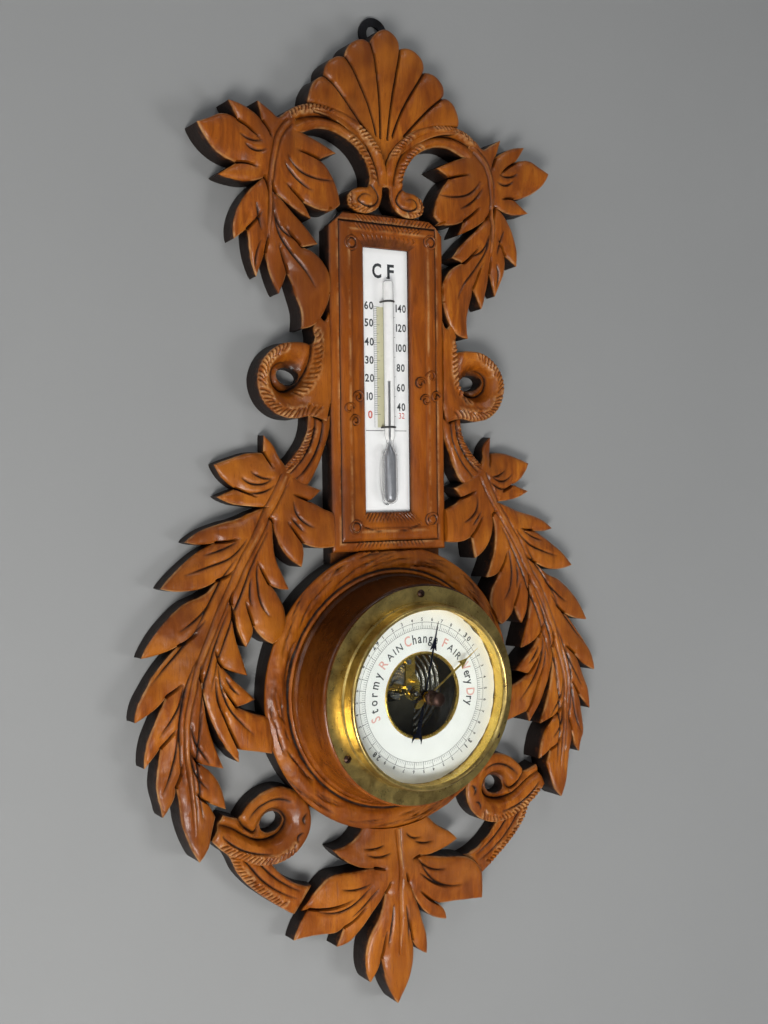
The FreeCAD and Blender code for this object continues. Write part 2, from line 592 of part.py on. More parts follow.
def capsule():
    """Sealed corrugated capsule with its foot boss."""
    low = CASE_BACK + CASE_T
    top = [(CAPSULE_R, 17.0), (CAPSULE_R - 0.6, 18.6)]
    r = CAPSULE_R - 1.6
    while r > 7.0:
        top += [(r, 19.2), (r - 0.7, 20.9), (r - 1.7, 20.9), (r - 2.4, 19.2)]
        r -= 3.4
    top += [(5.2, 19.6), (4.6, CAPSULE_TOP), (0, CAPSULE_TOP)]
    bottom = [(0, low), (3.9, low), (3.9, CAPSULE_BOTTOM), (CAPSULE_R - 1.5, CAPSULE_BOTTOM),
              (CAPSULE_R, 14.6)]
    return turned(bottom + top)


def capsule_stud():
    return disc(0, DIAL_Z, 3.0, CAPSULE_TOP, 28.0, 1.75)


def spring_bridge():
    """Block that anchors the main spring below the capsule."""
    low = CASE_BACK + CASE_T + BASE_T
    body = box(-26, 4, DIAL_Z - 42.0, DIAL_Z + SPRING_EDGE - RUN, low, SPRING_H + 1.0)
    body = body.cut(disc(0, DIAL_Z, CAPSULE_R + 1.5, low, 24))
    holes = [disc(x, DIAL_Z - 38.0, 1.0, SPRING_H - 8, SPRING_H + 2) for x in (-19, -3)]
    holes.append(disc(-11, DIAL_Z - 37.5, 2.0 + RUN, 0, 24))
    trim = disc(0, DIAL_Z, 49.0, 0, 40)
    return body.cut(Part.makeCompound(holes)).common(trim)


def bridge_screws():
    screws = []
    top = SPRING_H + 1.0
    for x in (-19, -3):
        z = DIAL_Z - 38.0
        head = disc(x, z, 2.4, top, top + 1.4)
        slot = box(x - 3, x + 3, z - 0.3, z + 0.3, top + 0.7, top + 2)
        screws.append(head.fuse(disc(x, z, 0.95, top - 7, top)).cut(slot).removeSplitter())
    return screws


def main_spring():
    """Broad flat spring with a tongue that reaches the capsule's centre."""
    z = DIAL_Z + SPRING_EDGE
    outline = [(-26, z, T), (4, z, T), (5.5, DIAL_Z - 8, T), (3, DIAL_Z - 5, T),
               (3, DIAL_Z + 1.5, T), (-3, DIAL_Z + 1.5, T), (-4, DIAL_Z - 5, T),
               (-26, DIAL_Z - 6, T)]
    return slab(outline, SPRING_H, SPRING_H + 1.0).cut(disc(0, DIAL_Z, 1.0, 30, 33))


def king_post():
    body = disc(0, DIAL_Z, 1.6, 25.0, SPRING_H)
    return body.fuse(disc(0, DIAL_Z, 1.0, SPRING_H, SPRING_H + 1.0)).removeSplitter()


def lever_arm():
    """Long flat lever from the spring's top edge up to the link."""
    x = ROCKER_X - ROCKER_OUT
    body = slab([(x - 2.2, DIAL_Z - 12, T), (x + 2.2, DIAL_Z - 12, T), (x + 1.1, DIAL_Z - 3, T),
                 (x + 1.1, DIAL_Z + LINK_W + 2, T), (x - 1.1, DIAL_Z + LINK_W + 2, T),
                 (x - 1.1, DIAL_Z - 3, T)], SPRING_H + 1.0, SPRING_H + 2.2)
    return body.cut(disc(x, DIAL_Z + LINK_W, 0.62, 30, 35))


def link_rod():
    """Short link from the lever down to the rocker."""
    x, z = ROCKER_X - ROCKER_OUT, DIAL_Z + LINK_W
    stem = disc(x, z, 0.5, ROCKER_H + 1.0, SPRING_H + 2.9)
    head = disc(x, z, 1.0, SPRING_H + 2.25, SPRING_H + 2.95)
    collar = disc(x, z, 1.0, SPRING_H + 0.3, SPRING_H + 0.95)
    eye = rod(point(x, z - 0.6, ROCKER_H), point(x, z + 0.6, ROCKER_H), 1.5)
    hole = rod(point(x, z - 1.0, ROCKER_H), point(x, z + 1.0, ROCKER_H), 0.8)
    return fuse([stem, head, collar, eye]).cut(hole)


def rocker_shaft():
    """Cross shaft with an upright chain arm and a short side arm for the link."""
    w = DIAL_Z
    shaft = rod(point(ROCKER_X, w + 0.2, ROCKER_H), point(ROCKER_X, w + 20.2, ROCKER_H), 0.8)
    upright = box(ROCKER_X - 1.4, ROCKER_X + 1.4, w + 0.2, w + 1.8, ROCKER_H - 1.2,
                  ROCKER_H + ROCKER_UP + 1.6)
    slot = round_box(ROCKER_X - 0.4, ROCKER_X + 0.4, w - 1, w + 3, ROCKER_H + ROCKER_UP - 0.9,
                     ROCKER_H + ROCKER_UP + 0.7, 0.05)
    x = ROCKER_X - ROCKER_OUT
    side = box(x - 1.0, ROCKER_X, w + LINK_W + 0.75, w + LINK_W + 2.0, ROCKER_H - 0.9,
               ROCKER_H + 0.9)
    pin = rod(point(x, w + LINK_W - 1.0, ROCKER_H), point(x, w + LINK_W + 1.0, ROCKER_H), 0.5)
    return fuse([shaft, upright, side, pin]).cut(slot)


def rocker_cocks():
    """Two bent brackets that hang the rocker shaft under the cock."""
    parts = []
    for w in (DIAL_Z + 2.6, DIAL_Z + 18.2):
        ear = box(ROCKER_X - 2.6, ROCKER_X + 2.6, w, w + 1.4, ROCKER_H - 2.4, 38.0)
        arm = box(ROCKER_X - 2.6, -5.0, w, w + 1.4, 36.4, 38.0)
        foot = box(-5.0, 3.6 if w < DIAL_Z + 10 else 1.4, w - 1.6, w + 3.0, 36.4, 38.0)
        hole = rod(point(ROCKER_X, w - 1, ROCKER_H), point(ROCKER_X, w + 3, ROCKER_H), 0.8 + RUN)
        screw = disc(-3.1, w + 0.7, 0.8, 36, 39)
        body = fuse([ear, arm, foot]).cut(hole.fuse(screw))
        body = body.cut(disc(0, DIAL_Z, 2.3, 30, 40))
        parts.append(body)
    return parts


def cock_screws():
    screws = []
    for w in (DIAL_Z + 3.3, DIAL_Z + 18.9):
        head = disc(-3.1, w, 1.7, 39.5, 40.6)
        slot = box(-6, 0, w - 0.25, w + 0.25, 40.1, 41)
        screws.append(head.fuse(disc(-3.1, w, 0.76, 36.6, 39.5)).cut(slot).removeSplitter())
    return screws


def chain():
    """Fine chain from the rocker's arm to the arbor's drum."""
    h = ROCKER_H + ROCKER_UP
    z = DIAL_Z - 1.25
    links = []
    count = 11
    start, end = ROCKER_X, -1.2
    step = (end - start) / count
    for i in range(count):
        x = start + step * (i + 0.5)
        flat = (0.62, 0.34) if i % 2 else (0.34, 0.62)
        links.append(box(x - step * 0.62, x + step * 0.62, z - flat[0] / 2, z + flat[0] / 2,
                         h - flat[1] / 2, h + flat[1] / 2))
    pin = rod(point(ROCKER_X, z, h), point(ROCKER_X, DIAL_Z + 1.7, h), 0.24)
    links.append(pin)
    return fuse(links)


def hand_arbor():
    """Arbor with the chain drum and the collet for the weather hand."""
    return turned([(0, 33.45), (0.5, 33.45), (0.5, 34.6), (0.75, 34.6), (0.75, 35.0), (2.0, 35.0),
                   (2.0, 35.4), (0.9, 35.4), (0.9, 36.6), (2.0, 36.6), (2.0, 37.0), (0.75, 37.0),
                   (0.75, 42.4), (1.2, 42.4), (1.2, 43.9), (0.75, 43.9), (0.75, HAND_H - 1.2),
                   (1.9, HAND_H - 1.2), (1.9, HAND_H), (0.93, HAND_H), (0.93, 54.2), (0.6, 54.6),
                   (0, 54.7)])


def hairspring():
    """Flat spiral round the arbor."""
    inner, outer = [], []
    turns = 3.6
    count = 54
    for i in range(count + 1):
        a = 2 * math.pi * turns * i / count
        r = 1.35 + 4.1 * i / count
        for edge, side in ((inner, -0.12), (outer, 0.12)):
            edge.append(((r + side) * math.sin(a), DIAL_Z + (r + side) * math.cos(a)))
    outer.reverse()
    points = ([inner[0] + (T,)] + inner[1:-1] + [inner[-1] + (T,), outer[0] + (T,)]
              + outer[1:-1] + [outer[-1] + (T,)])
    collet = disc(0, DIAL_Z, 1.45, 42.6, 43.6, 1.2)
    return slab(points, 42.7, 43.5).fuse(collet).removeSplitter()


def arbor_cock():
    """Brass strap from the pillar to the dial axis, with the two arbor bearings."""
    strap = slab([(-5, DIAL_Z + 47, T), (5, DIAL_Z + 47, T), (5, DIAL_Z + 37, T),
                  (1.5, DIAL_Z + 30, T), (1.5, DIAL_Z + 11, T), (5, DIAL_Z + 6, T),
                  (5, DIAL_Z + 1, T),
                  (3.4, DIAL_Z - 3.2), (0, DIAL_Z - 4.6), (-3.4, DIAL_Z - 3.2),
                  (-5, DIAL_Z + 1, T)], 38.0, 39.5)
    lower = slab([(-2.4, DIAL_Z + 9, T), (2.4, DIAL_Z + 9, T), (2.4, DIAL_Z, T),
                  (1.7, DIAL_Z - 1.7), (0, DIAL_Z - 2.4), (-1.7, DIAL_Z - 1.7),
                  (-2.4, DIAL_Z, T)], 33.4, 34.5)
    post = disc(0, DIAL_Z + 7.6, 1.3, 34.5, 38.0)
    stud = disc(0, DIAL_Z + 6.9, 0.7, 39.5, 43.6)
    boss = disc(0, DIAL_Z, 2.6, 39.5, 40.6)
    body = fuse([strap, lower, post, stud, boss])
    cuts = [disc(0, DIAL_Z, 0.75 + RUN, 36, 42), disc(0, DIAL_Z, 0.5 + RUN, 33, 35),
            disc(0, DIAL_Z + 43, 1.3, 37, 41)]
    cuts += [disc(-3.1, DIAL_Z + w, 0.8, 37, 41) for w in (3.3, 18.9)]
    return body.cut(Part.makeCompound(cuts))


def cock_pillar():
    """Pillar that carries the strap, with its top screw."""
    low = CASE_BACK + CASE_T + BASE_T
    pillar = disc(0, DIAL_Z + 43, 3.2, low, 38.0)
    return fuse([pillar, disc(0, DIAL_Z + 43, 1.25, 38.0, 39.5),
                 disc(0, DIAL_Z + 43, 2.6, 39.5, 41.0)])


def adjusting_screw():
    """Zero adjuster, reached with a screwdriver through the back of the case."""
    z = DIAL_Z - 37.5
    head = disc(-11, z, 2.9, CASE_BACK - 0.6, CASE_BACK + CASE_T - RUN)
    slot = box(-15, -7, z - 0.4, z + 0.4, CASE_BACK - 1, CASE_BACK + 0.3)
    return head.fuse(disc(-11, z, 2.0, CASE_BACK, 23.5)).cut(slot).removeSplitter()


PARTS = [carved_frame, thermometer_frame, drum_ring, hanger_plate, hanger_screws,
         thermometer_plate, thermometer_tube, mercury, tube_clips, movement_case, flange_screws,
         bezel, dial_glass, reflector_ring, dial_plate, dial_card, weather_hand, set_hand, set_knob,
         set_washer, base_plate, base_screws, capsule, capsule_stud, spring_bridge, bridge_screws,
         main_spring, king_post, lever_arm, link_rod, rocker_shaft, rocker_cocks, cock_screws,
         chain, hand_arbor, hairspring, arbor_cock, cock_pillar, adjusting_screw]

os.makedirs("parts", exist_ok=True)
for maker in PARTS:
    export(maker.__name__, maker())
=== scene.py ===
"""Looks of the carved barometer, built round its CAD frame.

Carving outlines are (x, z) in carving millimetres, z from the carving's mid-height,
and h is the height above the wall towards the viewer.
"""
import json
import math
import bmesh
import bpy
import numpy as np
from mathutils import Matrix, Vector, noise
from mathutils.geometry import delaunay_2d_cdt

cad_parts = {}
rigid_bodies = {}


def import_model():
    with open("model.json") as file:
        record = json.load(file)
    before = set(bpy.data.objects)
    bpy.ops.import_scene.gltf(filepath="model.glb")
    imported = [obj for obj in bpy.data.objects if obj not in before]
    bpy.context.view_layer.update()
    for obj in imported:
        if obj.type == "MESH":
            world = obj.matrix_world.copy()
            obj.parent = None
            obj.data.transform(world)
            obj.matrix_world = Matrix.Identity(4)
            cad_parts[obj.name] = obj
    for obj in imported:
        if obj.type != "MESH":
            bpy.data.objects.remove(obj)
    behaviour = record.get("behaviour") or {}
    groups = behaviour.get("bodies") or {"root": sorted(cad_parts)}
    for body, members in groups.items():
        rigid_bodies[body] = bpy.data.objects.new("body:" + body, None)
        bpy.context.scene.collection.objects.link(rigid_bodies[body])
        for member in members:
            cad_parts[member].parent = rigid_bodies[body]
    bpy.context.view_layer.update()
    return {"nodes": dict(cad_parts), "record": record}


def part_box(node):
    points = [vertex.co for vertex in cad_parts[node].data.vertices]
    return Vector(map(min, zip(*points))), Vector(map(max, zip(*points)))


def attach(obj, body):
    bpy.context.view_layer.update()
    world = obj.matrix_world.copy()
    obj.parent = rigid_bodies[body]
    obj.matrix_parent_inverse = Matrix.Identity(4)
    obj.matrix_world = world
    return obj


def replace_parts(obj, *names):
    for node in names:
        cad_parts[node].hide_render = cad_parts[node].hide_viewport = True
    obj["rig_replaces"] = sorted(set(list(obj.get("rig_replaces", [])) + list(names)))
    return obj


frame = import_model()

LOW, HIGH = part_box("carved_frame")
UNIT = (HIGH.z - LOW.z) / 600.8          # metres in one carving millimetre
MID = LOW.z + 300.0 * UNIT
WALL = HIGH.y
BEZEL_LOW, BEZEL_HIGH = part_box("bezel")
DIAL_Z = ((BEZEL_LOW.z + BEZEL_HIGH.z) / 2 - MID) / UNIT
RANDOM = np.random.default_rng(11)
T = 1                                    # marks a sharp corner in an outline


def world(x, z, h):
    """Place in the frame, in metres, of a point in carving millimetres."""
    return (x * UNIT, WALL - h * UNIT, MID + z * UNIT)


# ---------------------------------------------------------------- outlines
def run_line(points, step):
    """Smooth line through an open run of points."""
    p = np.array(points, float)
    d = np.linalg.norm(np.diff(p, axis=0), axis=1)
    if len(p) == 2:
        n = max(1, int(math.ceil(d[0] / step)))
        t = np.linspace(0, 1, n + 1)[:, None]
        return p[0] + (p[1] - p[0]) * t
    slope = np.diff(p, axis=0) / d[:, None]
    m = np.zeros_like(p)
    m[1:-1] = (slope[:-1] * d[1:, None] + slope[1:] * d[:-1, None]) / (d[:-1] + d[1:])[:, None]
    m[0] = 2 * slope[0] - m[1]
    m[-1] = 2 * slope[-1] - m[-2]
    out = [p[:1]]
    for i, length in enumerate(d):
        n = max(1, int(math.ceil(length / step)))
        t = (np.arange(1, n + 1) / n)[:, None]
        a = (2 * t ** 3 - 3 * t ** 2 + 1) * p[i] + (3 * t ** 2 - 2 * t ** 3) * p[i + 1]
        b = (t ** 3 - 2 * t ** 2 + t) * m[i] + (t ** 3 - t ** 2) * m[i + 1]
        out.append(a + b * length)
    return np.vstack(out)


def outline(points, step=1.5):
    """Closed smooth loop that keeps the corners marked T."""
    corners = [i for i, p in enumerate(points) if len(p) > 2]
    flat = [(p[0], p[1]) for p in points]
    if not corners:
        ring = run_line(flat[-3:] + flat + flat[:3], step)
        a = np.argmin(np.linalg.norm(ring - flat[0], axis=1))
        b = len(ring) - 1 - np.argmin(np.linalg.norm(ring[::-1] - flat[0], axis=1))
        return ring[a:b]
    first = corners[0]
    order = flat[first:] + flat[:first] + [flat[first]]
    marks = [(i - first) for i in corners] + [len(order) - 1]
    parts = [run_line(order[a:b + 1], step)[:-1] for a, b in zip(marks[:-1], marks[1:])]
    return np.vstack(parts)


def flip(line):
    """Mirror image about the carving's middle, with its direction kept."""
    return [(-p[0],) + tuple(p[1:]) for p in reversed(line)]


def inside(points, loop):
    """Even-odd test of points against a closed loop."""
    a = loop
    b = np.roll(loop, -1, axis=0)
    result = np.zeros(len(points), bool)
    for k in range(0, len(points), 4000):
        q = points[k:k + 4000]
        y = q[:, 1][:, None]
        crosses = (a[:, 1][None] > y) != (b[:, 1][None] > y)
        rise = b[:, 1] - a[:, 1]
        rise = np.where(np.abs(rise) < 1e-12, 1e-12, rise)
        at = a[:, 0][None] + (y - a[:, 1][None]) / rise[None] * (b[:, 0] - a[:, 0])[None]
        result[k:k + 4000] = (crosses & (q[:, 0][:, None] < at)).sum(1) % 2 == 1
    return result


def within(points, loops):
    """True for the points inside the first loop and outside the others."""
    keep = inside(points, loops[0])
    for hole in loops[1:]:
        keep &= ~inside(points, hole)
    return keep


def near(points, line, closed=False):
    """Distance to a polyline and the length along it to the nearest point."""
    a = line if closed else line[:-1]
    b = np.roll(line, -1, axis=0) if closed else line[1:]
    seg = b - a
    size = np.maximum((seg ** 2).sum(1), 1e-12)
    start = np.concatenate([[0], np.cumsum(np.sqrt(size))])[:-1]
    dist = np.empty(len(points))
    along = np.empty(len(points))
    for k in range(0, len(points), 3000):
        q = points[k:k + 3000]
        w = q[:, None, :] - a[None]
        t = np.clip((w * seg[None]).sum(2) / size[None], 0, 1)
        gap = w - t[..., None] * seg[None]
        d2 = (gap ** 2).sum(2)
        i = d2.argmin(1)
        rows = np.arange(len(q))
        dist[k:k + 3000] = np.sqrt(d2[rows, i])
        along[k:k + 3000] = start[i] + t[rows, i] * np.sqrt(size[i])
    return dist, along


def cross(a, b):
    """Cross product of flat vectors, row by row."""
    return a[:, 0] * b[:, 1] - a[:, 1] * b[:, 0]


def share(line, along):
    """Distances along a line as shares of its whole length."""
    return along / max(np.linalg.norm(np.diff(line, axis=0), axis=1).sum(), 1e-9)


def facing(points, tri, way):
    """Triangles wound to face the viewer (way 1) or the wall (way -1)."""
    flat = points[tri]
    turn = way * cross(flat[:, 1] - flat[:, 0], flat[:, 2] - flat[:, 0]) > 0
    return np.where(turn[:, None], tri, tri[:, ::-1])


def to_side(line, s):
    """A line or marks as given for the right side (s = 1), or mirrored to the left (s = -1)."""
    return [(s * p[0],) + tuple(p[1:]) for p in line]


def one_side(shape, s):
    """A closed outline as given for the right side (s = 1), or mirrored to the left (s = -1)."""
    return shape if s > 0 else flip(shape)


def shrink(loop, amount):
    """The loop moved inwards; a negative amount moves it out."""
    ahead = np.roll(loop, -1, axis=0) - np.roll(loop, 1, axis=0)
    size = np.maximum(np.linalg.norm(ahead, axis=1), 1e-9)
    side = np.stack([-ahead[:, 1], ahead[:, 0]], 1) / size[:, None]
    nxt = np.roll(loop, -1, axis=0)
    turn = np.sign((loop[:, 0] * nxt[:, 1] - nxt[:, 0] * loop[:, 1]).sum())
    return loop + side * turn * amount


def triangulate(loops, lines, step):
    """Delaunay triangles inside the first loop and outside the others, no inner grid for step 0."""
    points, edges = [], []
    for loop in loops:
        n = len(points)
        points += [tuple(p) for p in loop]
        edges += [(n + i, n + (i + 1) % len(loop)) for i in range(len(loop))]
    for line in lines:
        n = len(points)
        points += [tuple(p) for p in line]
        edges += [(n + i, n + i + 1) for i in range(len(line) - 1)]
    if step:
        lo, hi = loops[0].min(0), loops[0].max(0)
        xs = np.arange(lo[0], hi[0], step)
        zs = np.arange(lo[1], hi[1], step * 0.866)
        gx, gz = np.meshgrid(xs, zs)
        gx = gx + (np.arange(len(zs)) % 2)[:, None] * step / 2
        grid = np.stack([gx.ravel(), gz.ravel()], 1)
        grid = grid + RANDOM.uniform(-0.12, 0.12, grid.shape) * step
        grid = grid[within(grid, loops)]
        clear = np.full(len(grid), 1e9)
        for loop in loops:
            clear = np.minimum(clear, near(grid, loop, True)[0])
        for line in lines:
            clear = np.minimum(clear, near(grid, line)[0])
        points += [tuple(p) for p in grid[clear > step * 0.55]]
    found = delaunay_2d_cdt([Vector(p) for p in points], edges, [], 0, 1e-5, False)
    verts = np.array([tuple(v) for v in found[0]])
    faces = np.array([f for f in found[2] if len(f) == 3])
    keep = within(verts[faces].mean(1), loops)
    area = cross(verts[faces[:, 1]] - verts[faces[:, 0]], verts[faces[:, 2]] - verts[faces[:, 0]])
    faces = faces[keep & (np.abs(area) > 1e-7)]
    used, faces = np.unique(faces, return_inverse=True)
    return verts[used], faces.reshape(-1, 3)


def quads(count, m, closed=True, ring=True):
    """Faces between neighbouring sections of m points each.

    A closed section joins its last point to its first, and a ring its last section to its first.
    """
    faces = []
    for i in range(count if ring else count - 1):
        j = (i + 1) % count
        for k in range(m if closed else m - 1):
            q = (k + 1) % m
            faces.append((i * m + k, i * m + q, j * m + q, j * m + k))
    return faces


def ellipse(x, z, rx, rz, tilt=0.0, steps=18):
    """Closed loop of an ellipse, tilted by an angle in radians."""
    a = np.linspace(0, 2 * math.pi, steps, endpoint=False)
    u, v = rx * np.cos(a), rz * np.sin(a)
    c, s = math.cos(tilt), math.sin(tilt)
    return np.stack([x + u * c - v * s, z + u * s + v * c], 1)


def wander(points, size, seed):
    """Smooth random values, one for each (x, z)."""
    return np.array([noise.noise((p[0] / size, p[1] / size, seed)) for p in points])


# ---------------------------------------------------------------- carving
FRAME_LOW, FRAME_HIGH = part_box("thermometer_frame")
FRAME_X = FRAME_HIGH.x / UNIT
FRAME_Z = ((FRAME_LOW.z - MID) / UNIT, (FRAME_HIGH.z - MID) / UNIT)
RING_OUT = 87.5                          # radius of the bark ring round the drum
RING_REACH = RING_OUT - 0.8              # elements step down inside this radius
UNDER_RING = 11.0                        # greatest height below the bark ring
CORE_TOP = 9.9                           # greatest height below the thermometer frame
BACK = 0.02                              # back of the carving above the wall
BACK_STEP = 0.04                         # between the backs of elements that overlap
CUT = 1.1                                # half the width of a carved line
EDGE = 0.9                               # width of the pale edge, partly worn and partly painted highlight
HATCH = 0.9                              # half the width of a hatching cut
RIDGE = 1.5                              # from a hatching cut to the ridge beside it


def runs_inside(line, loops, least=3):
    """The stretches of a line that lie inside the first loop and outside the others."""
    out, start = [], None
    for i, state in enumerate(list(within(line, loops)) + [False]):
        if state and start is None:
            start = i
        if not state and start is not None:
            if i - start >= least:
                out.append(line[start:i])
            start = None
    return out


def beside(line, gap):
    """The line moved sideways."""
    ahead = np.gradient(line, axis=0)
    ahead /= np.maximum(np.linalg.norm(ahead, axis=1), 1e-9)[:, None]
    side = np.stack([-ahead[:, 1], ahead[:, 0]], 1)
    return line + side * np.reshape(gap, (-1, 1))


def fences(loop):
    """Lines along which an element steps down under the frame or the ring."""
    lines = []
    for gap in (-0.06, 0.06):
        x, z0, z1 = FRAME_X + gap, FRAME_Z[0] - gap, FRAME_Z[1] + gap
        for side in (-1, 1):
            lines.append(run_line([(side * x, z0), (side * x, z1)], 1.4))
        lines.append(run_line([(-x, z0), (x, z0)], 1.4))
        lines.append(run_line([(-x, z1), (x, z1)], 1.4))
        lines.append(ellipse(0, DIAL_Z, RING_REACH + gap, RING_REACH + gap, steps=380))
    return [run for line in lines for run in runs_inside(line, [loop])]


def keep_clear(p, h):
    """Lowers whatever lies under the thermometer frame or the bark ring."""
    under = (np.abs(p[:, 0]) < FRAME_X) & (p[:, 1] > FRAME_Z[0]) & (p[:, 1] < FRAME_Z[1])
    h = np.where(under, np.minimum(h, CORE_TOP), h)
    ring = np.hypot(p[:, 0], p[:, 1] - DIAL_Z) < RING_REACH
    return np.where(ring, np.minimum(h, UNDER_RING), h)


class Carving:
    """Collects carved elements as one mesh, with painted shade and a wear value at each vertex; the
    wear value is partly worn edges and partly painted highlight.
    """

    def __init__(self):
        self.verts, self.faces, self.stain, self.wear = [], [], [], []
        self.count = 0

    def add(self, verts, faces, stain, wear=None):
        """Adds vertices, and faces numbered from the first of them."""
        n = len(self.verts)
        self.verts += [tuple(v) for v in verts]
        self.faces += [tuple(int(i) + n for i in f) for f in faces]
        self.stain += list(stain)
        self.wear += list(wear) if wear is not None else [0.0] * len(stain)

    def element(self, loop, height, holes=(), lines=(), strokes=(), step=1.5, seed=0.0,
                floor=None, back_lines=(), lean=0.6):
        """One carved element: relief on top, chiselled side walls and a flat back."""
        loops = [loop] + list(holes)
        back = BACK + BACK_STEP * (1 + self.count % 9)
        floor = floor or (lambda point: back)
        self.count += 1
        rim_line = [shrink(loop, EDGE)] + [shrink(k, -EDGE) for k in holes]
        kept = [run for line in rim_line for run in runs_inside(line, loops)]
        for line in lines:
            kept += runs_inside(line, loops, 2)
            for side in (-CUT, CUT):
                kept += runs_inside(beside(line, side), loops, 2)
        for line in strokes:
            for side in (-RIDGE, -HATCH, 0.0, HATCH, RIDGE):
                kept += runs_inside(beside(line, side), loops, 2)
        p, tri = triangulate(loops, kept + fences(loop), step)
        h, stain = height(p)
        rim_gap = near(p, loop, True)[0]
        for hole in holes:
            rim_gap = np.minimum(rim_gap, near(p, hole, True)[0])
        # pale rim: partly wear and partly painted highlight; negative painted shade from the relief
        # marks painted highlight on crests and ridges
        wear = np.clip(1 - rim_gap / EDGE, 0, 1) * np.clip(1 - stain, 0, 1)
        wear = np.maximum(wear, np.clip(-stain, 0, 1))
        h = h + 0.28 * wander(p, 7.0, seed) + 0.12 * wander(p, 2.6, seed + 5)
        h = keep_clear(p, h)
        tri = facing(p, tri, 1)
        n = len(self.verts)
        self.add([world(q[0], q[1], k) for q, k in zip(p, h)], tri, stain, wear)
        self.walls(p, h, tri, n, floor, lean, seed)
        self.back(loops, floor, back_lines, lean)

    def walls(self, p, h, tri, n, floor, lean, seed):
        """Side walls below the rim of a relief whose first vertex is n, with tool marks and painted
        shade that deepens down the walls.
        """
        edges = {}
        for f in tri:
            for a, b in ((f[0], f[1]), (f[1], f[2]), (f[2], f[0])):
                key = (min(a, b), max(a, b))
                edges[key] = None if key in edges else (a, b)
        rim = [ab for ab in edges.values() if ab is not None]
        normal = np.zeros_like(p)
        for a, b in rim:
            d = p[b] - p[a]
            normal[[a, b]] += np.array([-d[1], d[0]]) / max(np.linalg.norm(d), 1e-9)
        normal /= np.maximum(np.linalg.norm(normal, axis=1), 1e-9)[:, None]
        rims = sorted({i for ab in rim for i in ab})
        place = {v: i for i, v in enumerate(rims)}
        rows = []
        # each row of the wall: share of the height, how far it leans in, and painted shade, darkest at
        # the foot
        for level, inward, dark in ((0.90, 0.1, 0.7), (0.45, 0.45, 0.92), (0.0, 1.0, 1.0)):
            rows.append(len(self.verts))
            ring = []
            for i in rims:
                chip = 0.5 * noise.noise((p[i][0] / 4, p[i][1] / 4, seed + 9)) if level else 0.0
                q = p[i] - normal[i] * (inward * lean + chip)
                low = floor(q)
                ring.append(world(q[0], q[1], low + (h[i] - low) * level))
            self.add(ring, [], [dark] * len(ring))
        for a, b in rim:
            ia, ib = place[a], place[b]
            self.faces.append((n + b, n + a, rows[0] + ia, rows[0] + ib))
            for r0, r1 in zip(rows[:-1], rows[1:]):
                self.faces.append((r0 + ib, r0 + ia, r1 + ia, r1 + ib))

    def back(self, loops, floor, lines, lean):
        """Flat back of an element, with any recess cut in it."""
        q, tri = triangulate([shrink(loops[0], lean)] + [shrink(k, -lean) for k in loops[1:]],
                             lines, 0)
        # the back is darkened by half: painted shade
        self.add([world(a[0], a[1], floor(a)) for a in q], facing(q, tri, -1), [0.55] * len(q))

    def make(self, name):
        """Everything carved so far as one piece."""
        mesh = bpy.data.meshes.new(name)
        mesh.from_pydata(self.verts, [], self.faces)
        mesh.update()
        # painted shade, and the wear value that is partly painted highlight, kept at each vertex
        for kind, values in (("stain", self.stain), ("wear", self.wear)):
            layer = mesh.attributes.new(kind, "FLOAT", "POINT")
            layer.data.foreach_set("value", np.clip(values, 0, 1).astype(np.float32))
        return place_mesh(name, mesh, "frame", 42)


def place_mesh(name, mesh, body, angle):
    """Object of a mesh, smooth up to the given angle, that rides on a body."""
    obj = bpy.data.objects.new(name, mesh)
    bpy.context.scene.collection.objects.link(obj)
    mesh.polygons.foreach_set("use_smooth", [True] * len(mesh.polygons))
    mesh.set_sharp_from_angle(angle=math.radians(angle))
    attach(obj, body)
    return obj


def round_over(d, depth, width):
    """A rounded edge: steep at the rim, flat further in."""
    t = np.clip(1 - d / width, 0, 1)
    return depth * (1 - np.sqrt(np.clip(1 - t ** 2, 0, 1)))


def levels(points, marks):
    """Carved height, blended between (x, z, h) marks."""
    m = np.array(marks, float)
    d2 = ((points[:, None, :] - m[None, :, :2]) ** 2).sum(2) + 30.0
    w = 1 / d2 ** 1.6
    return (w * m[None, :, 2]).sum(1) / w.sum(1)


def hatch_strokes(loop, spans, s=1, pitch=2.6):
    """Slanted cuts along the rim: each span is (start, end, length, slant) on the right side."""
    strokes = []
    size = np.linalg.norm(np.roll(loop, -1, axis=0) - loop, axis=1)
    total = size.sum()
    at = np.concatenate([[0], np.cumsum(size)])
    closed = np.vstack([loop, loop[:1]])
    turn = np.sign(cross(loop, np.roll(loop, -1, axis=0)).sum())

    def rim(along):
        along = along % total
        return np.array([np.interp(along, at, closed[:, 0]), np.interp(along, at, closed[:, 1])])
    for start, end, length, slant in spans:
        start, end, slant = (s * start[0], start[1]), (s * end[0], end[1]), s * slant
        lo, hi = near(np.array([start, end], float), loop, True)[1]
        span = (hi - lo) % total
        if span > total / 2:
            lo, span = hi, total - span
        for k in range(int(span / pitch)):
            along = lo + (k + 0.5 + 0.3 * noise.noise((k * 0.9, start[0], 3.0))) * pitch
            foot = rim(along)
            ahead = rim(along + 0.6) - rim(along - 0.6)
            ahead /= max(np.linalg.norm(ahead), 1e-9)
            inward = np.array([-ahead[1], ahead[0]]) * turn
            grow = length * (0.85 + 0.3 * noise.noise((foot[0], foot[1], 4.0)))
            tip = foot + inward * grow + ahead * slant * grow
            bow = foot + inward * grow * 0.55 + ahead * slant * grow * 0.35
            strokes.append(run_line([foot + inward * 0.4, bow, tip], 1.1))
    return strokes


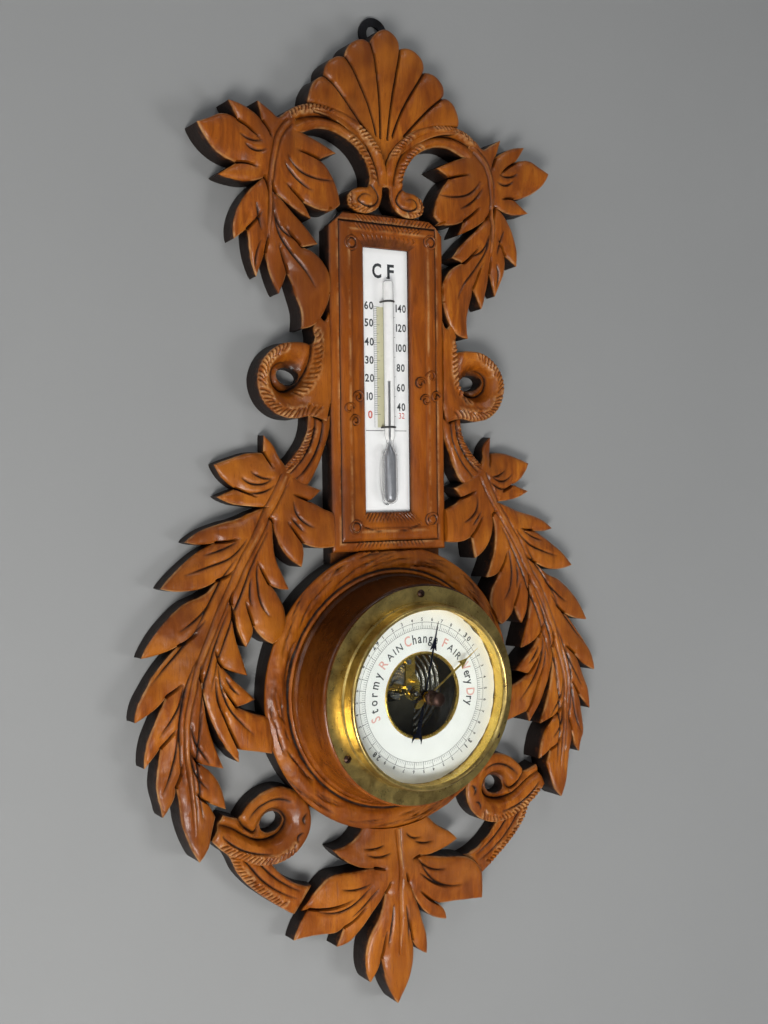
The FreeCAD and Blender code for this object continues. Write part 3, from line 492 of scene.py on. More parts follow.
def cut_strokes(p, h, stain, strokes):
    """Cuts the hatching into a height, with painted shade in each cut and a painted highlight on the
    raised ridge beside it.
    """
    for line in strokes:
        close = np.abs(p - line.mean(0)).max(1) < 9
        if close.any():
            d, _ = near(p[close], line)
            bite = np.clip(1 - d / HATCH, 0, 1)
            ridge = np.exp(-((d - RIDGE) / 0.5) ** 2)
            h[close] += 0.35 * ridge - 0.9 * bite
            old = stain[close]
            # painted highlight on the ridge, kept as negative painted shade, and painted shade in the
            # cut
            pale = np.where(old < 0.25, -0.9 * ridge, old)
            stain[close] = np.where(bite > 0.3, np.maximum(old, 0.40 * bite), np.minimum(old, pale))
    return h, stain


def leaf_height(loop, s, marks, valleys, veins, stem, pale=0.35, groove_shade=0.45):
    """Height of a carved leaf: flat crisp lobes, cut notches, fine veins and a raised stem, with
    painted shade in the notches, veins and stem grooves and a painted highlight along the stem's
    crest.
    """
    marks = to_side(marks, s)
    valley_lines = [run_line(to_side(v, s), 1.5) for v in valleys]
    vein_lines = [run_line(to_side(v, s), 1.5) for v in veins]
    spine, wide, tall = run_line(to_side(stem[0], s), 1.5), stem[1], stem[2]
    spine_s = near(spine, spine)[1]
    length = spine_s.max()
    half = wide * (1 - 0.6 * spine_s / length)
    sides = [beside(spine, half), beside(spine, -half)]

    def height(p):
        rim, _ = near(p, loop, True)
        h = levels(p, marks) - round_over(rim, 0.8, 1.3) - 0.9 * np.clip(1 - rim / 6, 0, 1) ** 2
        stain = np.zeros(len(p))
        for line in valley_lines:
            d, along = near(p, line)
            t = share(line, along)
            h -= 1.7 * np.clip(1 - d / 7.5, 0, 1) ** 1.7 * np.clip(1 - t / 0.9, 0, 1)
            cut = np.clip(1 - t / 0.62, 0, 1) ** 0.7
            h -= 4.0 * cut * np.clip(1 - d / CUT, 0, 1)
            # painted shade in the pierced notch
            stain = np.maximum(stain, cut ** 0.6 * np.clip(1 - d / CUT, 0, 1))
        for line in vein_lines:
            d, along = near(p, line)
            t = share(line, along)
            ends = np.sin(np.pi * np.clip(0.06 + 0.90 * t, 0, 1)) ** 0.6
            h -= 1.25 * ends * np.clip(1 - d / CUT, 0, 1)
            h += 0.30 * ends * np.exp(-((d - 2.4) / 1.2) ** 2)
            # painted shade in the vein
            stain = np.maximum(stain, 0.95 * ends * np.clip(1 - d / CUT, 0, 1))
        d, along = near(p, spine)
        w = wide * (1 - 0.6 * along / length)
        fade = np.clip((length - along) / 14, 0, 1)
        h += tall * np.sqrt(np.clip(1 - (d / w) ** 2, 0, 1))
        for line in sides:
            gap = np.clip(1 - near(p, line)[0] / CUT, 0, 1) * fade
            h -= 0.8 * gap
            # painted shade in the stem's side grooves
            stain = np.maximum(stain, groove_shade * gap)
        crest = np.clip(1 - d / 0.9, 0, 1) * fade
        # painted highlight along the stem's crest, kept as negative painted shade
        stain = np.where(stain < 0.2, np.minimum(stain, -pale * crest), stain)
        return h, np.clip(stain, -1, 1)
    return height, valley_lines + vein_lines + sides + [spine]


UPPER_LEAF = [(66, 243), (73, 238), (78, 241), (86, 245.5, T), (82.5, 234, T), (92, 240),
              (104.5, 243, T), (98, 232.5, T), (110, 234.5), (117, 231), (124, 228, T),
              (118, 219), (109, 212.5), (98, 209.5, T), (110, 201.5, T), (100, 199.5), (90, 199.5),
              (82, 202.5, T), (90.5, 195), (97.5, 185), (101, 173), (100.5, 166, T),
              (91.5, 173, T), (90.5, 160), (85.5, 146, T), (80, 161, T), (77, 147),
              (72.5, 136.5, T), (66.5, 149.5, T), (62.5, 138), (59, 126), (59.5, 116.5, T),
              (51, 119), (44, 128), (40.5, 139), (41, 150), (47, 159), (58, 164.5, T),
              (48, 167, T), (57, 177), (66, 185), (75.5, 194.5, T), (66, 188), (52.5, 181.5, T),
              (58, 191.5, T), (50, 188), (39, 187.5), (33.5, 191.5, T), (35.5, 200), (40.5, 210),
              (47, 217, T), (36, 221.5, T), (50, 228), (60, 232, T)]
UPPER_MARKS = [(124, 228, 20), (104, 243, 19), (86, 245, 18), (110, 201, 15), (100, 166, 14.5),
               (85, 146, 11), (72, 136, 14), (59, 117, 17), (42, 140, 18), (36, 221, 19),
               (35, 195, 19), (78, 200, 18), (76, 222, 19), (66, 238, 17), (48, 168, 17)]
UPPER_VALLEYS = [
    [(82.5, 234), (79, 228), (76, 218)], [(98, 232.5), (88, 226), (79, 215)],
    [(98, 209.5), (88, 208), (80, 203)], [(82, 202.5), (80, 195), (79, 188)],
    [(91.5, 173), (85, 181), (80, 190)], [(80, 161), (79.5, 168), (79, 177)],
    [(66.5, 149.5), (71, 161), (76.5, 176)], [(58, 164.5), (67, 173), (76, 184)],
    [(75.5, 194.5), (77.5, 199), (77, 206)], [(58, 191.5), (66, 198), (75, 208)],
    [(47, 217), (58, 220), (71, 222)]]
UPPER_VEINS = [
    [(68, 216), (60, 208), (50, 205), (38, 205)], [(70, 212), (62, 203), (53, 198)],
    [(98, 225), (90, 222), (84, 223)], [(95, 220), (88, 216.5), (82, 218)],
    [(77, 188), (74, 173), (65, 160), (56, 150), (51, 141)], [(76, 183), (71, 173), (62, 169)],
    [(88, 187), (86, 180), (84, 172)], [(84, 166), (86.5, 158), (86, 151)]]
UPPER_STEM = ([(66, 236), (73, 228), (77, 215), (78.5, 200), (79, 185), (79, 168)], 2.2, 0.7)

LOWER_LEAF = [(66, 30, T), (73, 40), (76, 48), (81.5, 53.5, T), (81.5, 43, T), (92, 43), (103, 40),
              (113, 36.5, T), (108, 28.5), (99.5, 22.5, T), (112, 18, T), (103, 14), (94, 12.5),
              (82.5, 11.5, T), (89, 9.5), (101, 5), (113, 2), (123, -1.5), (132, -7.5, T),
              (123, -9.0), (113, -8.0, T), (124, -13), (134, -20), (142, -27), (147.5, -33, T),
              (137, -35), (125, -34), (114, -29.5, T), (123, -37.5), (134, -42), (144, -50),
              (153, -60), (159.5, -71, T), (150, -69.5), (138, -65, T), (148, -75), (157, -87),
              (163, -98), (164.5, -106, T), (155, -101), (146, -93, T), (153, -107), (158, -119),
              (159.5, -132, T), (149.5, -121, T), (151.5, -131), (153, -145), (150.5, -156),
              (149.5, -160.5, T), (145.5, -155), (142, -144, T), (140, -157), (138.5, -167),
              (135, -178), (130, -188, T), (125, -182), (122, -173), (119.5, -164, T),
              (123.5, -155.5, T), (113, -160.5, T), (114.5, -152), (117.5, -144), (122, -138),
              (128.5, -132.5, T), (114, -137, T), (118, -127), (122, -115), (125, -100),
              (126, -86, T), (123, -102), (118.5, -114), (113, -124), (104.5, -134.5, T),
              (104, -127.5, T), (92, -130), (84, -132, T), (82.5, -121), (86, -111), (94, -108),
              (105, -103, T), (94, -99.5, T), (101, -92.5), (108, -86), (114, -78.5, T),
              (106, -82.5), (98.5, -85, T), (101.5, -75.5), (105, -65), (107, -54),
              (107, -43, T), (105.5, -47), (104, -57), (99, -68.5, T), (95.5, -63), (94, -56, T),
              (89.5, -63), (82.5, -68, T), (75.5, -62), (74, -50), (78.5, -40), (83.5, -33, T),
              (78, -36), (71, -37, T), (75, -28.5), (78.5, -20), (80, -9), (79, 3, T),
              (77.5, -6), (74, -14), (62.5, -24, T), (61, -16), (61, -10, T), (53, -13),
              (45, -13.5), (38, -12.5, T), (38, -4, T), (38, 5), (48, 10.5), (55, 14.5, T),
              (48, 21, T), (55, 23.5)]
LOWER_MARKS = [(81, 53, 9.5), (113, 36, 9.5), (112, 18, 10), (132, -7, 10), (147, -33, 12),
               (159, -71, 12.5), (164, -106, 14.5), (159, -132, 15), (149, -160, 15.5),
               (130, -188, 20), (113, -160, 18.5), (114, -137, 18.5), (104, -134, 19),
               (84, -132, 20), (94, -99, 19), (98, -85, 19), (99, -68, 19), (80, -66, 20),
               (71, -37, 19), (62, -24, 19), (41, -10, 18.5), (48, 20, 17), (66, 30, 15),
               (95, -15, 16.5), (120, -60, 17.5), (134, -110, 18), (132, -150, 19)]
LOWER_VALLEYS = [
    [(81.5, 43), (78, 35), (74, 28)], [(99.5, 22.5), (90, 18.5), (80, 15)],
    [(113, -8), (104, -7), (93, -3)], [(114, -29.5), (108, -27), (101, -19)],
    [(138, -65), (130, -60), (122, -52)], [(146, -93), (139, -88), (131, -82)],
    [(149.5, -121), (143, -113), (137, -104)], [(142, -144), (138.5, -134), (136, -122)],
    [(123.5, -155.5), (129, -151), (133, -141)], [(128.5, -132.5), (132, -128), (134.5, -118)],
    [(126, -86), (126.5, -80), (124, -70)], [(104, -127.5), (112, -110), (120, -88), (121, -76)],
    [(105, -103), (112, -93), (119, -78)], [(114, -78.5), (117, -72), (118, -62)],
    [(107, -43), (106.5, -38), (104, -32)], [(94, -56), (97.5, -46), (101, -32)],
    [(83.5, -33), (88, -24), (92, -12)], [(79, 3), (81, 5), (84, 2)],
    [(61, -10), (69, 1), (76, 12)], [(55, 14.5), (64, 18), (73, 22)]]
LOWER_VEINS = [
    [(97, -7), (107, -17), (120, -22), (133, -26)], [(103, -8), (112, -12.5), (121, -15)],
    [(120, -42), (128, -50), (138, -57)], [(124, -52), (132, -61), (142, -72), (155, -86)],
    [(137, -88), (140, -98), (146, -108), (151, -115)],
    [(141, -112), (142, -122), (145, -135), (150, -147)],
    [(133, -110), (131, -120), (126, -128), (122, -134)], [(133, -125), (130, -140), (124, -147)],
    [(116, -78), (115, -90), (110, -103), (103, -112), (96, -119)],
    [(118, -85), (117, -97), (111, -110)], [(112, -85), (108, -92), (104, -95.5)],
    [(90, -20), (91, -35), (89, -45), (84, -52)], [(95, -30), (96, -38), (95, -45)],
    [(66, 14), (64, 6), (60, 2), (54, -1)], [(68, 5), (64, 0), (61, -3)],
    [(97, 29), (92, 25.5), (85, 25), (79, 28)], [(91, 32), (86, 29), (79, 28)],
    [(93, 20), (86, 20), (78, 24)],
    [(84, -4), (94, -22), (102, -40), (109, -56), (116, -74), (121, -92)],
    [(110, -48), (117, -64), (123, -82), (127, -100), (129, -116)],
    [(126, -104), (129.5, -122), (129.5, -142), (127, -164)],
    [(129, -74), (136, -90), (140, -106), (140, -124), (138, -142)],
    [(104, -18), (114, -32), (123, -46), (130, -58)]]
LOWER_STEM = ([(71, 29), (77.5, 16.5), (84.5, 5), (91.5, -7), (99, -19), (106, -33),
               (113.5, -46), (120, -60), (126.5, -75), (131, -90), (135, -106), (135.5, -122),
               (134, -140), (132, -160), (131.5, -172)], 3.0, 0.5)

BOTTOM_LEAF = [(0, -182, T), (-20, -181, T), (-30, -194.5), (-42, -197, T), (-35, -204),
               (-27, -209), (-14, -212, T), (-30, -212.5), (-45, -213.5), (-52, -219),
               (-60, -228), (-63, -230.5, T), (-57, -231, T), (-62, -236), (-68, -247.5, T),
               (-50, -247), (-40, -247.5), (-34.5, -245.5, T), (-40, -256.5, T), (-32, -255),
               (-25, -249), (-18, -241), (-7, -228, T), (-12, -243), (-18, -254), (-21, -266),
               (-20.5, -276), (-18, -282.5, T), (-14, -277), (-10, -268.5, T), (-8, -280),
               (-4, -291), (1.5, -300, T), (8, -289), (12, -277), (12.5, -262, T), (17, -269),
               (23, -273, T), (23, -262), (19, -250), (9, -224, T), (14, -235), (20, -244),
               (28, -250.5), (39, -254.5, T), (37, -248), (32.5, -243.5, T), (45, -244),
               (58, -245.5), (67.5, -246.5, T), (68, -238), (67.5, -230, T), (62, -222),
               (55, -217.5), (40, -214.5), (18, -209.5, T), (30, -209.5), (40, -207),
               (47, -204, T), (42, -199), (35, -195), (20, -181, T)]
BOTTOM_MARKS = [(-42, -197, 15), (-63, -230, 13), (-68, -247, 13), (-40, -256, 15),
                (-18, -282, 17), (1, -300, 17), (23, -273, 17), (39, -254, 16), (67, -238, 15),
                (47, -204, 17), (0, -190, 19), (1, -215, 20.5), (1, -245, 20), (1, -275, 18.5),
                (-25, -230, 17), (28, -228, 18)]
BOTTOM_VALLEYS = [
    [(-14, -212), (-9, -213), (-4, -214)], [(-57, -231), (-42, -232), (-28, -228), (-14, -218)],
    [(-34.5, -245.5), (-24, -238), (-13, -224)], [(-7, -228), (-5, -222), (-4, -216)],
    [(-10, -268.5), (-8, -255), (-6, -240)], [(12.5, -262), (9, -250), (6.5, -236)],
    [(9, -224), (7, -219), (5.5, -213)], [(32.5, -243.5), (22, -236), (11, -220)],
    [(18, -209.5), (13, -210), (7, -211)]]
BOTTOM_VEINS = [
    [(-37, -221.5), (-28, -223), (-18, -221)], [(-52, -233), (-40, -235), (-28, -231), (-17, -222)],
    [(-30, -239), (-20, -232), (-13, -225)], [(15, -210), (22, -217), (37, -221)],
    [(17, -220), (25, -226.5), (38, -233)], [(17, -212), (28, -227), (50, -234)],
    [(-20, -203), (-13, -205), (-5, -203.5)], [(7, -193), (12, -197), (17, -197)],
    [(13, -199), (20, -201.5), (27, -201.5)], [(-22, -199), (-15, -199.5), (-9, -198)],
    [(-3, -236), (-5, -252), (-6, -262)], [(6, -238), (8, -252), (9, -262)]]
BOTTOM_STEM = ([(1, -190), (2, -210), (2, -240), (1.8, -268)], 1.5, 1.3)

SHELL = [(0, 301), (6, 298.5), (10.5, 291.5, T), (18.5, 292), (27, 285), (28, 280, T), (34.5, 279),
         (42, 271.5), (42.3, 266.5, T), (47, 264.5), (52, 257.5), (53, 248), (50, 244, T),
         (36, 241.5), (28, 238), (19.5, 232.5), (13, 225.5), (8.5, 218), (3, 214, T), (0, 214, T)]
SHELL_GROOVES = [[(10.5, 291.5), (6.5, 272), (4, 255), (2.5, 236)],
                 [(28, 280), (20, 268), (12, 254), (6, 238)],
                 [(42.3, 266.5), (33, 259), (24, 250), (14, 239)],
                 [(54, 249), (42, 248), (30, 245), (20, 239)]]

ARCH = [(-1, 214, T), (1.5, 222), (5, 229), (12, 236.5), (20, 242.5), (30, 247), (40, 249.5),
        (50, 249.5), (58, 247.5), (66, 243), (76, 234, T), (66, 227, T), (56, 232), (46, 235.5),
        (36, 235), (27, 231.5), (19, 225.5), (14, 218.5), (11.5, 211), (12.5, 205), (20, 203.5),
        (26, 199.5), (26.5, 193), (20, 189), (13, 189), (6, 193), (3, 200), (2, 206), (-1, 206, T)]
ARCH_SPINE = [(5.5, 208), (8, 219), (13, 228.5), (21, 236), (32, 241), (43, 242.8), (55, 241),
              (66, 236)]
ARCH_OUTER = [(3, 215), (6.5, 227), (14, 236), (24, 242), (37, 246), (50, 246.5), (64, 240.5)]
ARCH_INNER = [(9, 208), (11.5, 217), (17, 226), (26, 233.5), (37, 238), (49, 238.5), (62, 233)]
ARCH_HATCH = [((3, 225), (17, 240.5), 3.6, 0.5), ((34, 248.3), (68, 241.5), 3.6, 0.5),
              ((27, 231.5), (12, 209), 3.4, 0.4), ((21.5, 200), (14, 189.5), 3.6, 0.8)]
CURL_LINE = [(13.5, 207), (8.5, 203), (6.5, 198), (10, 193.5), (16, 192.5), (21, 196),
             (18, 199.5), (13, 198.5)]

SIDE_SCROLL = [(40, 129, T), (44, 122), (47.5, 127, T), (51, 117, T), (51.5, 108), (60, 108.5),
               (72, 107), (83, 99), (88, 86), (84, 73), (75, 65.5), (64, 63.5), (54, 65),
               (43, 62, T), (40, 75, T)]
SIDE_SPIRAL = [(51.3, 113), (52.2, 104), (53, 96), (56, 87.5), (62, 81.5), (70, 79.5), (76, 84),
               (76.5, 92), (71, 96.5), (63, 95)]
SIDE_RIDGE = [(43.5, 116), (43, 100), (43, 86), (47, 74), (56, 67.5), (67, 66.5), (78, 71), (84, 82),
              (82, 94), (73, 102.5), (62, 103.5)]
SIDE_INNER = [(50.5, 120), (50.8, 104), (52, 94), (55, 86.5), (61, 80.5), (68, 78), (60, 74),
              (48, 84), (43, 104), (43, 120)]
STEM = [(40, 66, T), (46, 62, T), (54.5, 66, T), (57, 52), (63, 43), (72, 33), (74, 26, T),
        (66, 18, T), (57, 23), (50, 33), (44.5, 46), (41, 56)]
STEM_GROOVES = [[(46, 64), (48, 50), (54, 38), (66, 26)], [(50.5, 65), (52.5, 51), (58, 41), (69, 30)]]

SIDE_LIP = [(49.5, 112), (49, 100), (51, 90), (56, 82)]
LOWER_LIP = [(93, -172), (84, -166), (76, -167), (72.5, -174)]
LOWER_SCROLL = [(103, -169, T), (113, -165, T), (120, -179, T), (112, -187), (100, -194),
                (88, -198.5), (75, -198), (65, -193), (58, -184), (56.5, -174), (60, -163.5),
                (69, -156), (79, -153.5), (88, -155.5), (96.5, -161)]
LOWER_SPIRAL = [(116, -170), (107, -174), (99, -179.5), (91, -183.5), (82, -184.5), (75, -182),
                (71.5, -176), (74, -170), (81, -167.5), (87.5, -170)]
LOWER_OUTER = [(103, -169), (98, -175.5), (92.5, -178.5), (89.5, -174)]
LOWER_TONGUE = [(71, -163), (80, -160.5), (89, -163), (97, -169.5)]
LOWER_BAND = [(114, -177), (104, -185.5), (94, -190), (84, -192)]
LOWER_RIDGE = [(116, -176), (103, -186.5), (88, -193), (75, -192.5), (65.5, -186), (62, -175),
               (66.5, -164), (76, -159), (87, -161)]
RIBBON = [(103, -178, T), (119, -180, T), (109, -190), (103.5, -201), (95, -211), (85, -219.5),
          (66, -233, T), (54, -218, T), (68, -212.5), (77.5, -204.5), (84, -196, T)]
RIBBON_GROOVES = [[(108, -185), (98, -196), (89, -207), (78, -216), (67, -222)],
                  [(100, -185), (91, -196), (83, -205), (73, -213), (64, -218)]]


def shell_height(loop, grooves):
    """Flutes that fan out, nearly flat, with a cut line between them and a rounded upper rim; the cut
    lines get painted shade.
    """
    lines = [run_line(g, 1.5) for g in grooves]

    def height(p):
        r = np.hypot(p[:, 0], p[:, 1] - 222)
        h = 12.2 + 4.4 * np.clip((r - 8) / 50, 0, 1) ** 0.8
        best = np.full(len(p), 1e9)
        for line in lines:
            best = np.minimum(best, near(p, line)[0])
        wide = np.clip(r * 0.135, 0.9, 9.5)
        t = np.clip(best / wide, 0, 1)
        h += 2.6 * np.clip(r / 60, 0.1, 1) * np.sqrt(np.clip(1 - (1 - t) ** 2, 0, 1))
        cut = np.clip(1 - best / CUT, 0, 1)
        h -= 1.1 * cut
        rim, _ = near(p, loop, True)
        edge = round_over(rim, 0.9, 1.4) + 1.3 * np.clip(1 - rim / 8, 0, 1) ** 2
        # painted shade in the cut lines
        return h - np.where(p[:, 1] < 245, 0, edge), 0.95 * cut ** 0.8
    return height, lines


def band_height(loop, s, top, ridges, grooves, strokes, bowl=None):
    """Scroll band: crisp rim, raised ridges, cut grooves, and a hollow round its eye, with painted
    shade in the grooves and the hollow.

    Ridges are (line, height, width), grooves (line, depth, width) and the bowl
    (x, z, inner radius, outer radius, depth), all given for the right side.
    """
    ridge_lines = [(run_line(to_side(line, s), 1.5), tall, wide) for line, tall, wide in ridges]
    cuts = [(run_line(to_side(line, s), 1.4), deep, wide) for line, deep, wide in grooves]

    def height(p):
        d, _ = near(p, loop, True)
        h = top - round_over(d, 1.3, 2.0)
        stain = np.zeros(len(p))
        if bowl:
            x, z, near_r, far_r, deep = bowl
            t = np.clip((np.hypot(p[:, 0] - s * x, p[:, 1] - z) - near_r) / (far_r - near_r), 0, 1)
            h -= deep * (1 - t) ** 1.3
            # painted shade in the hollow round the eye
            stain = 0.80 * np.clip(1 - t * 2.0, 0, 1)
        for line, tall, wide in ridge_lines:
            h += tall * np.exp(-(near(p, line)[0] / wide) ** 2)
        for line, depth, wide in cuts:
            dg, along = near(p, line)
            ends = np.sin(np.pi * np.clip(0.10 + 0.86 * share(line, along), 0, 1)) ** 0.5
            h -= depth * ends * np.clip(1 - dg / wide, 0, 1)
            # painted shade in the groove
            stain = np.maximum(stain, 0.95 * ends * np.clip(1 - dg / min(wide, 1.5), 0, 1))
        h, stain = cut_strokes(p, h, stain, strokes)
        return h, np.clip(stain, -1, 1)
    return height, [c[0] for c in cuts]


PLATE_LOW, PLATE_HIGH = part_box("hanger_plate")
EYE_OUT = (PLATE_HIGH.x - PLATE_LOW.x) / 2 / UNIT
EYE_Z = (PLATE_HIGH.z - MID) / UNIT - EYE_OUT
TAIL_Z = (PLATE_LOW.z - MID) / UNIT
TAIL_X = 8.0                             # half the width of the hanging plate's tail
PLATE_H = (WALL - PLATE_LOW.y) / UNIT
LET_IN = 0.05                            # play round the hanging plate in its recess
NAIL_R = 7.0                             # room for the nail behind the hanging hole
NAIL_H = 12.0                            # height of that room above the wall


def recess(q):
    """Height of the shell's back above the wall: the hanging plate is let in."""
    r = math.hypot(q[0], q[1] - EYE_Z)
    if r < NAIL_R:
        return NAIL_H
    tail = abs(q[0]) < TAIL_X + LET_IN and q[1] > TAIL_Z - LET_IN
    return PLATE_H + LET_IN if tail or r < EYE_OUT + LET_IN else BACK


def recess_lines():
    """Lines on both sides of the recess's steps: the lower half rings and the tail."""
    lines = []
    for gap in (-0.03, 0.03):
        for r in (NAIL_R, EYE_OUT + LET_IN):
            lines.append(ellipse(0, EYE_Z, r + gap, r + gap, steps=72)[36:])
        x, z = TAIL_X + LET_IN + gap, TAIL_Z - LET_IN - gap
        lines.append(np.array([(-x, EYE_Z - 2), (-x, z), (x, z), (x, EYE_Z - 2)]))
    return lines


def carve_leaves(work):
    """Upper and lower leaves on both sides, and the bottom leaf."""
    for leaf, marks, valleys, veins, stem, seed in (
            (UPPER_LEAF, UPPER_MARKS, UPPER_VALLEYS, UPPER_VEINS, UPPER_STEM, 1.0),
            (LOWER_LEAF, LOWER_MARKS, LOWER_VALLEYS, LOWER_VEINS, LOWER_STEM, 3.0)):
        for side, s in enumerate((1, -1)):
            loop = outline(one_side(leaf, s))
            height, lines = leaf_height(loop, s, marks, valleys, veins, stem)
            work.element(loop, height, lines=lines, seed=seed + side)
    loop = outline(BOTTOM_LEAF)
    height, lines = leaf_height(loop, 1, BOTTOM_MARKS, BOTTOM_VALLEYS, BOTTOM_VEINS, BOTTOM_STEM,
                                0.9, 0.15)
    work.element(loop, height, lines=lines, seed=5.0)


def carve_crown(work):
    """Shell, let in at its back for the hanging plate, and the arch on each side of it."""
    loop = outline(SHELL + flip(SHELL[1:-1]))
    height, lines = shell_height(loop, SHELL_GROOVES + [to_side(g, -1) for g in SHELL_GROOVES])
    work.element(loop, height, lines=lines, seed=6.0, floor=recess, back_lines=recess_lines())
    for side, s in enumerate((1, -1)):
        loop = outline(one_side(ARCH, s))
        strokes = hatch_strokes(loop, ARCH_HATCH, s)
        height, lines = band_height(loop, s, 16.2, [(ARCH_OUTER, 1.6, 2.2), (ARCH_INNER, 1.9, 2.0)],
                                    [(ARCH_SPINE, 3.0, 2.2), (CURL_LINE, 1.3, 1.2)], strokes)
        raised = (lambda p, base=height, s=s: raise_curl(p, base(p), s))
        work.element(loop, raised, lines=lines, strokes=strokes, step=1.3, seed=7.0 + side)


def raise_curl(p, relief, s):
    """Swell the arch's curl into a dome."""
    h, stain = relief
    return h + 3.4 * np.exp(-((p[:, 0] - s * 15) ** 2 + (p[:, 1] - 196.5) ** 2) / 45), stain


def carve_side_scroll(work, s, seed):
    """Scroll beside the thermometer, with hatching on its outer and inner edges."""
    loop = outline(one_side(SIDE_SCROLL, s), 1.4)
    eye = ellipse(s * 65.5, 88.5, 8.6, 5.2, 0.15 * s)
    strokes = hatch_strokes(loop, [((50, 64.7), (87.5, 82), 6.2, 0.6),
                                   ((87.8, 84), (66, 108.2), 5.2, 0.6)], s, 2.9)
    strokes += hatch_strokes(outline(to_side(SIDE_INNER, s)), [((50.6, 115), (66, 78.7), 4.4, 0.6)],
                             s, 2.9)
    height, lines = band_height(loop, s, 15.8, [(SIDE_RIDGE, 1.0, 3.5), (SIDE_LIP, 3.0, 2.2)],
                                [(SIDE_SPIRAL, 5.4, 3.3)], strokes, (65.0, 88.5, 5.0, 18.5, 9.0))
    work.element(loop, height, holes=[eye], lines=lines, strokes=strokes, step=1.3, seed=seed)


def carve_stem(work, s, seed):
    """Short stem from the side scroll down to the lower leaf."""
    loop = outline(one_side(STEM, s), 1.4)
    strokes = hatch_strokes(loop, [((55.5, 58), (72.5, 32), 4.6, -0.9)], s, 2.2)
    height, lines = band_height(loop, s, 14.4, [([(45, 60), (48, 46), (59, 30)], 1.6, 2.6)],
                                [(g, 1.8, 1.4) for g in STEM_GROOVES], strokes)
    work.element(loop, height, lines=lines, strokes=strokes, step=1.3, seed=seed)


def carve_lower_scroll(work, s, seed):
    """Scroll below the ring, curled round its eye."""
    loop = outline(one_side(LOWER_SCROLL, s), 1.4)
    eye = ellipse(s * 81, -175.0, 7.6, 5.8, -0.3 * s)
    strokes = hatch_strokes(loop, [((118, -182), (66, -194.5), 5.2, 0.5)], s, 2.9)
    grooves = [(LOWER_SPIRAL, 4.6, 2.6), (LOWER_OUTER, 4.2, 2.6), (LOWER_TONGUE, 1.6, 1.6),
               (LOWER_BAND, 1.2, 1.2), ([(60, -172), (62.5, -175), (61, -178)], 1.4, 1.4),
               ([(63, -183), (66, -185), (66, -188)], 1.4, 1.4)]
    height, lines = band_height(loop, s, 14.2, [(LOWER_RIDGE, 1.2, 3.0), (LOWER_LIP, 1.8, 2.0)],
                                grooves, strokes, (81, -174.5, 4.5, 16.0, 7.5))
    work.element(loop, height, holes=[eye], lines=lines, strokes=strokes, step=1.3, seed=seed)


def carve_ribbon(work, s, seed):
    """Ribbon from the lower scroll to the bottom leaf."""
    loop = outline(one_side(RIBBON, s), 1.4)
    strokes = hatch_strokes(loop, [((112, -186), (76, -226), 4.4, 0.5)], s)
    height, lines = band_height(loop, s, 12.2, [([(108, -183), (93, -202), (64, -222)], 0.9, 4.0)],
                                [(g, 1.5, 1.3) for g in RIBBON_GROOVES], strokes)
    end = np.array(to_side([(68, -229), (57, -214)], s))
    work.element(loop, lambda p: cut_end(p, height(p), end), lines=lines + [end], strokes=strokes,
                 step=1.3, seed=seed)


def carve_scrolls(work):
    """Scrolls, stems and ribbons, all on the right first and then on the left."""
    for side, s in enumerate((1, -1)):
        carve_side_scroll(work, s, 9.0 + side)
        carve_stem(work, s, 11.0 + side)
        carve_lower_scroll(work, s, 13.0 + side)
        carve_ribbon(work, s, 15.0 + side)


def cut_end(p, relief, end):
    """Slope the ribbon's end down and leave it pale."""
    h, stain = relief
    d, _ = near(p, end)
    below = (end[1, 0] - end[0, 0]) * (p[:, 1] - end[0, 1]) - (end[1, 1] - end[0, 1]) * (
        p[:, 0] - end[0, 0])
    past = below * np.sign(end[0, 0]) > 0
    h = np.where(past, h - 0.8 * np.minimum(d, 6.0), h)
    return h, np.where(past & (d < 5), -0.9, stain)


def carve_core(work):
    """Board behind the thermometer, hollowed under the bulb."""
    loop = outline([(-39, -30, T), (39, -30, T), (39, 178, T), (29.5, 186.5, T), (27, 190, T),
                    (-27, 190, T), (-29.5, 186.5, T), (-39, 178, T)], 3.0)
    bulb = outline([(-6, 17), (0, 11), (6, 17), (6, 41), (0, 47), (-6, 41)], 2.0)
    lines = [np.vstack([shrink(bulb, gap), shrink(bulb, gap)[:1]]) for gap in (-0.1, 0.1)]

    def height(p):
        h = np.where(inside(p, bulb), CORE_TOP - 0.8, CORE_TOP)
        # the whole board is darkened evenly: painted shade under the frame
        return h, np.full(len(p), 0.5)
    work.element(loop, height, lines=lines, step=6.0, seed=17.0, lean=0.0)


RING_STEPS = 480
RING_PROFILE = [(57.7, 18.45), (64.0, 18.45), (69.0, 18.45), (70.0, 18.6), (70.8, 19.2),
                (71.8, 19.8), (72.6, 19.3), (73.2, 18.1), (74.0, 18.0), (74.8, 18.6), (75.6, 19.1),
                (76.4, 19.4), (77.2, 19.7), (78.0, 19.9), (78.8, 20.0), (79.6, 20.0), (80.4, 20.0),
                (81.2, 20.0), (82.0, 19.9), (82.8, 19.7), (83.6, 19.4), (84.4, 19.0), (85.2, 18.6),
                (86.0, 18.1), (86.7, 17.6), (87.2, 17.1), (87.5, 16.4)]
# foot of the ring: radius, height and painted shade, full on its outer wall and lighter on its back
RING_FOOT = [(87.45, 15.2, 1.0), (87.2, 9.0, 1.0), (86.6, BACK, 1.0), (57.7, BACK, 0.6)]


def bark_cuts():
    """Chisel cuts in the ring's bark: angle, radius, rise, span and depth of each."""
    cuts = []
    for _ in range(150):
        a = RANDOM.uniform(0, 2 * math.pi)
        r = RANDOM.uniform(74.0, 84.5)
        cuts.append((a, r, RANDOM.uniform(-0.5, 4.0), RANDOM.uniform(0.08, 0.34),
                     RANDOM.uniform(0.3, 1.0)))
    return cuts


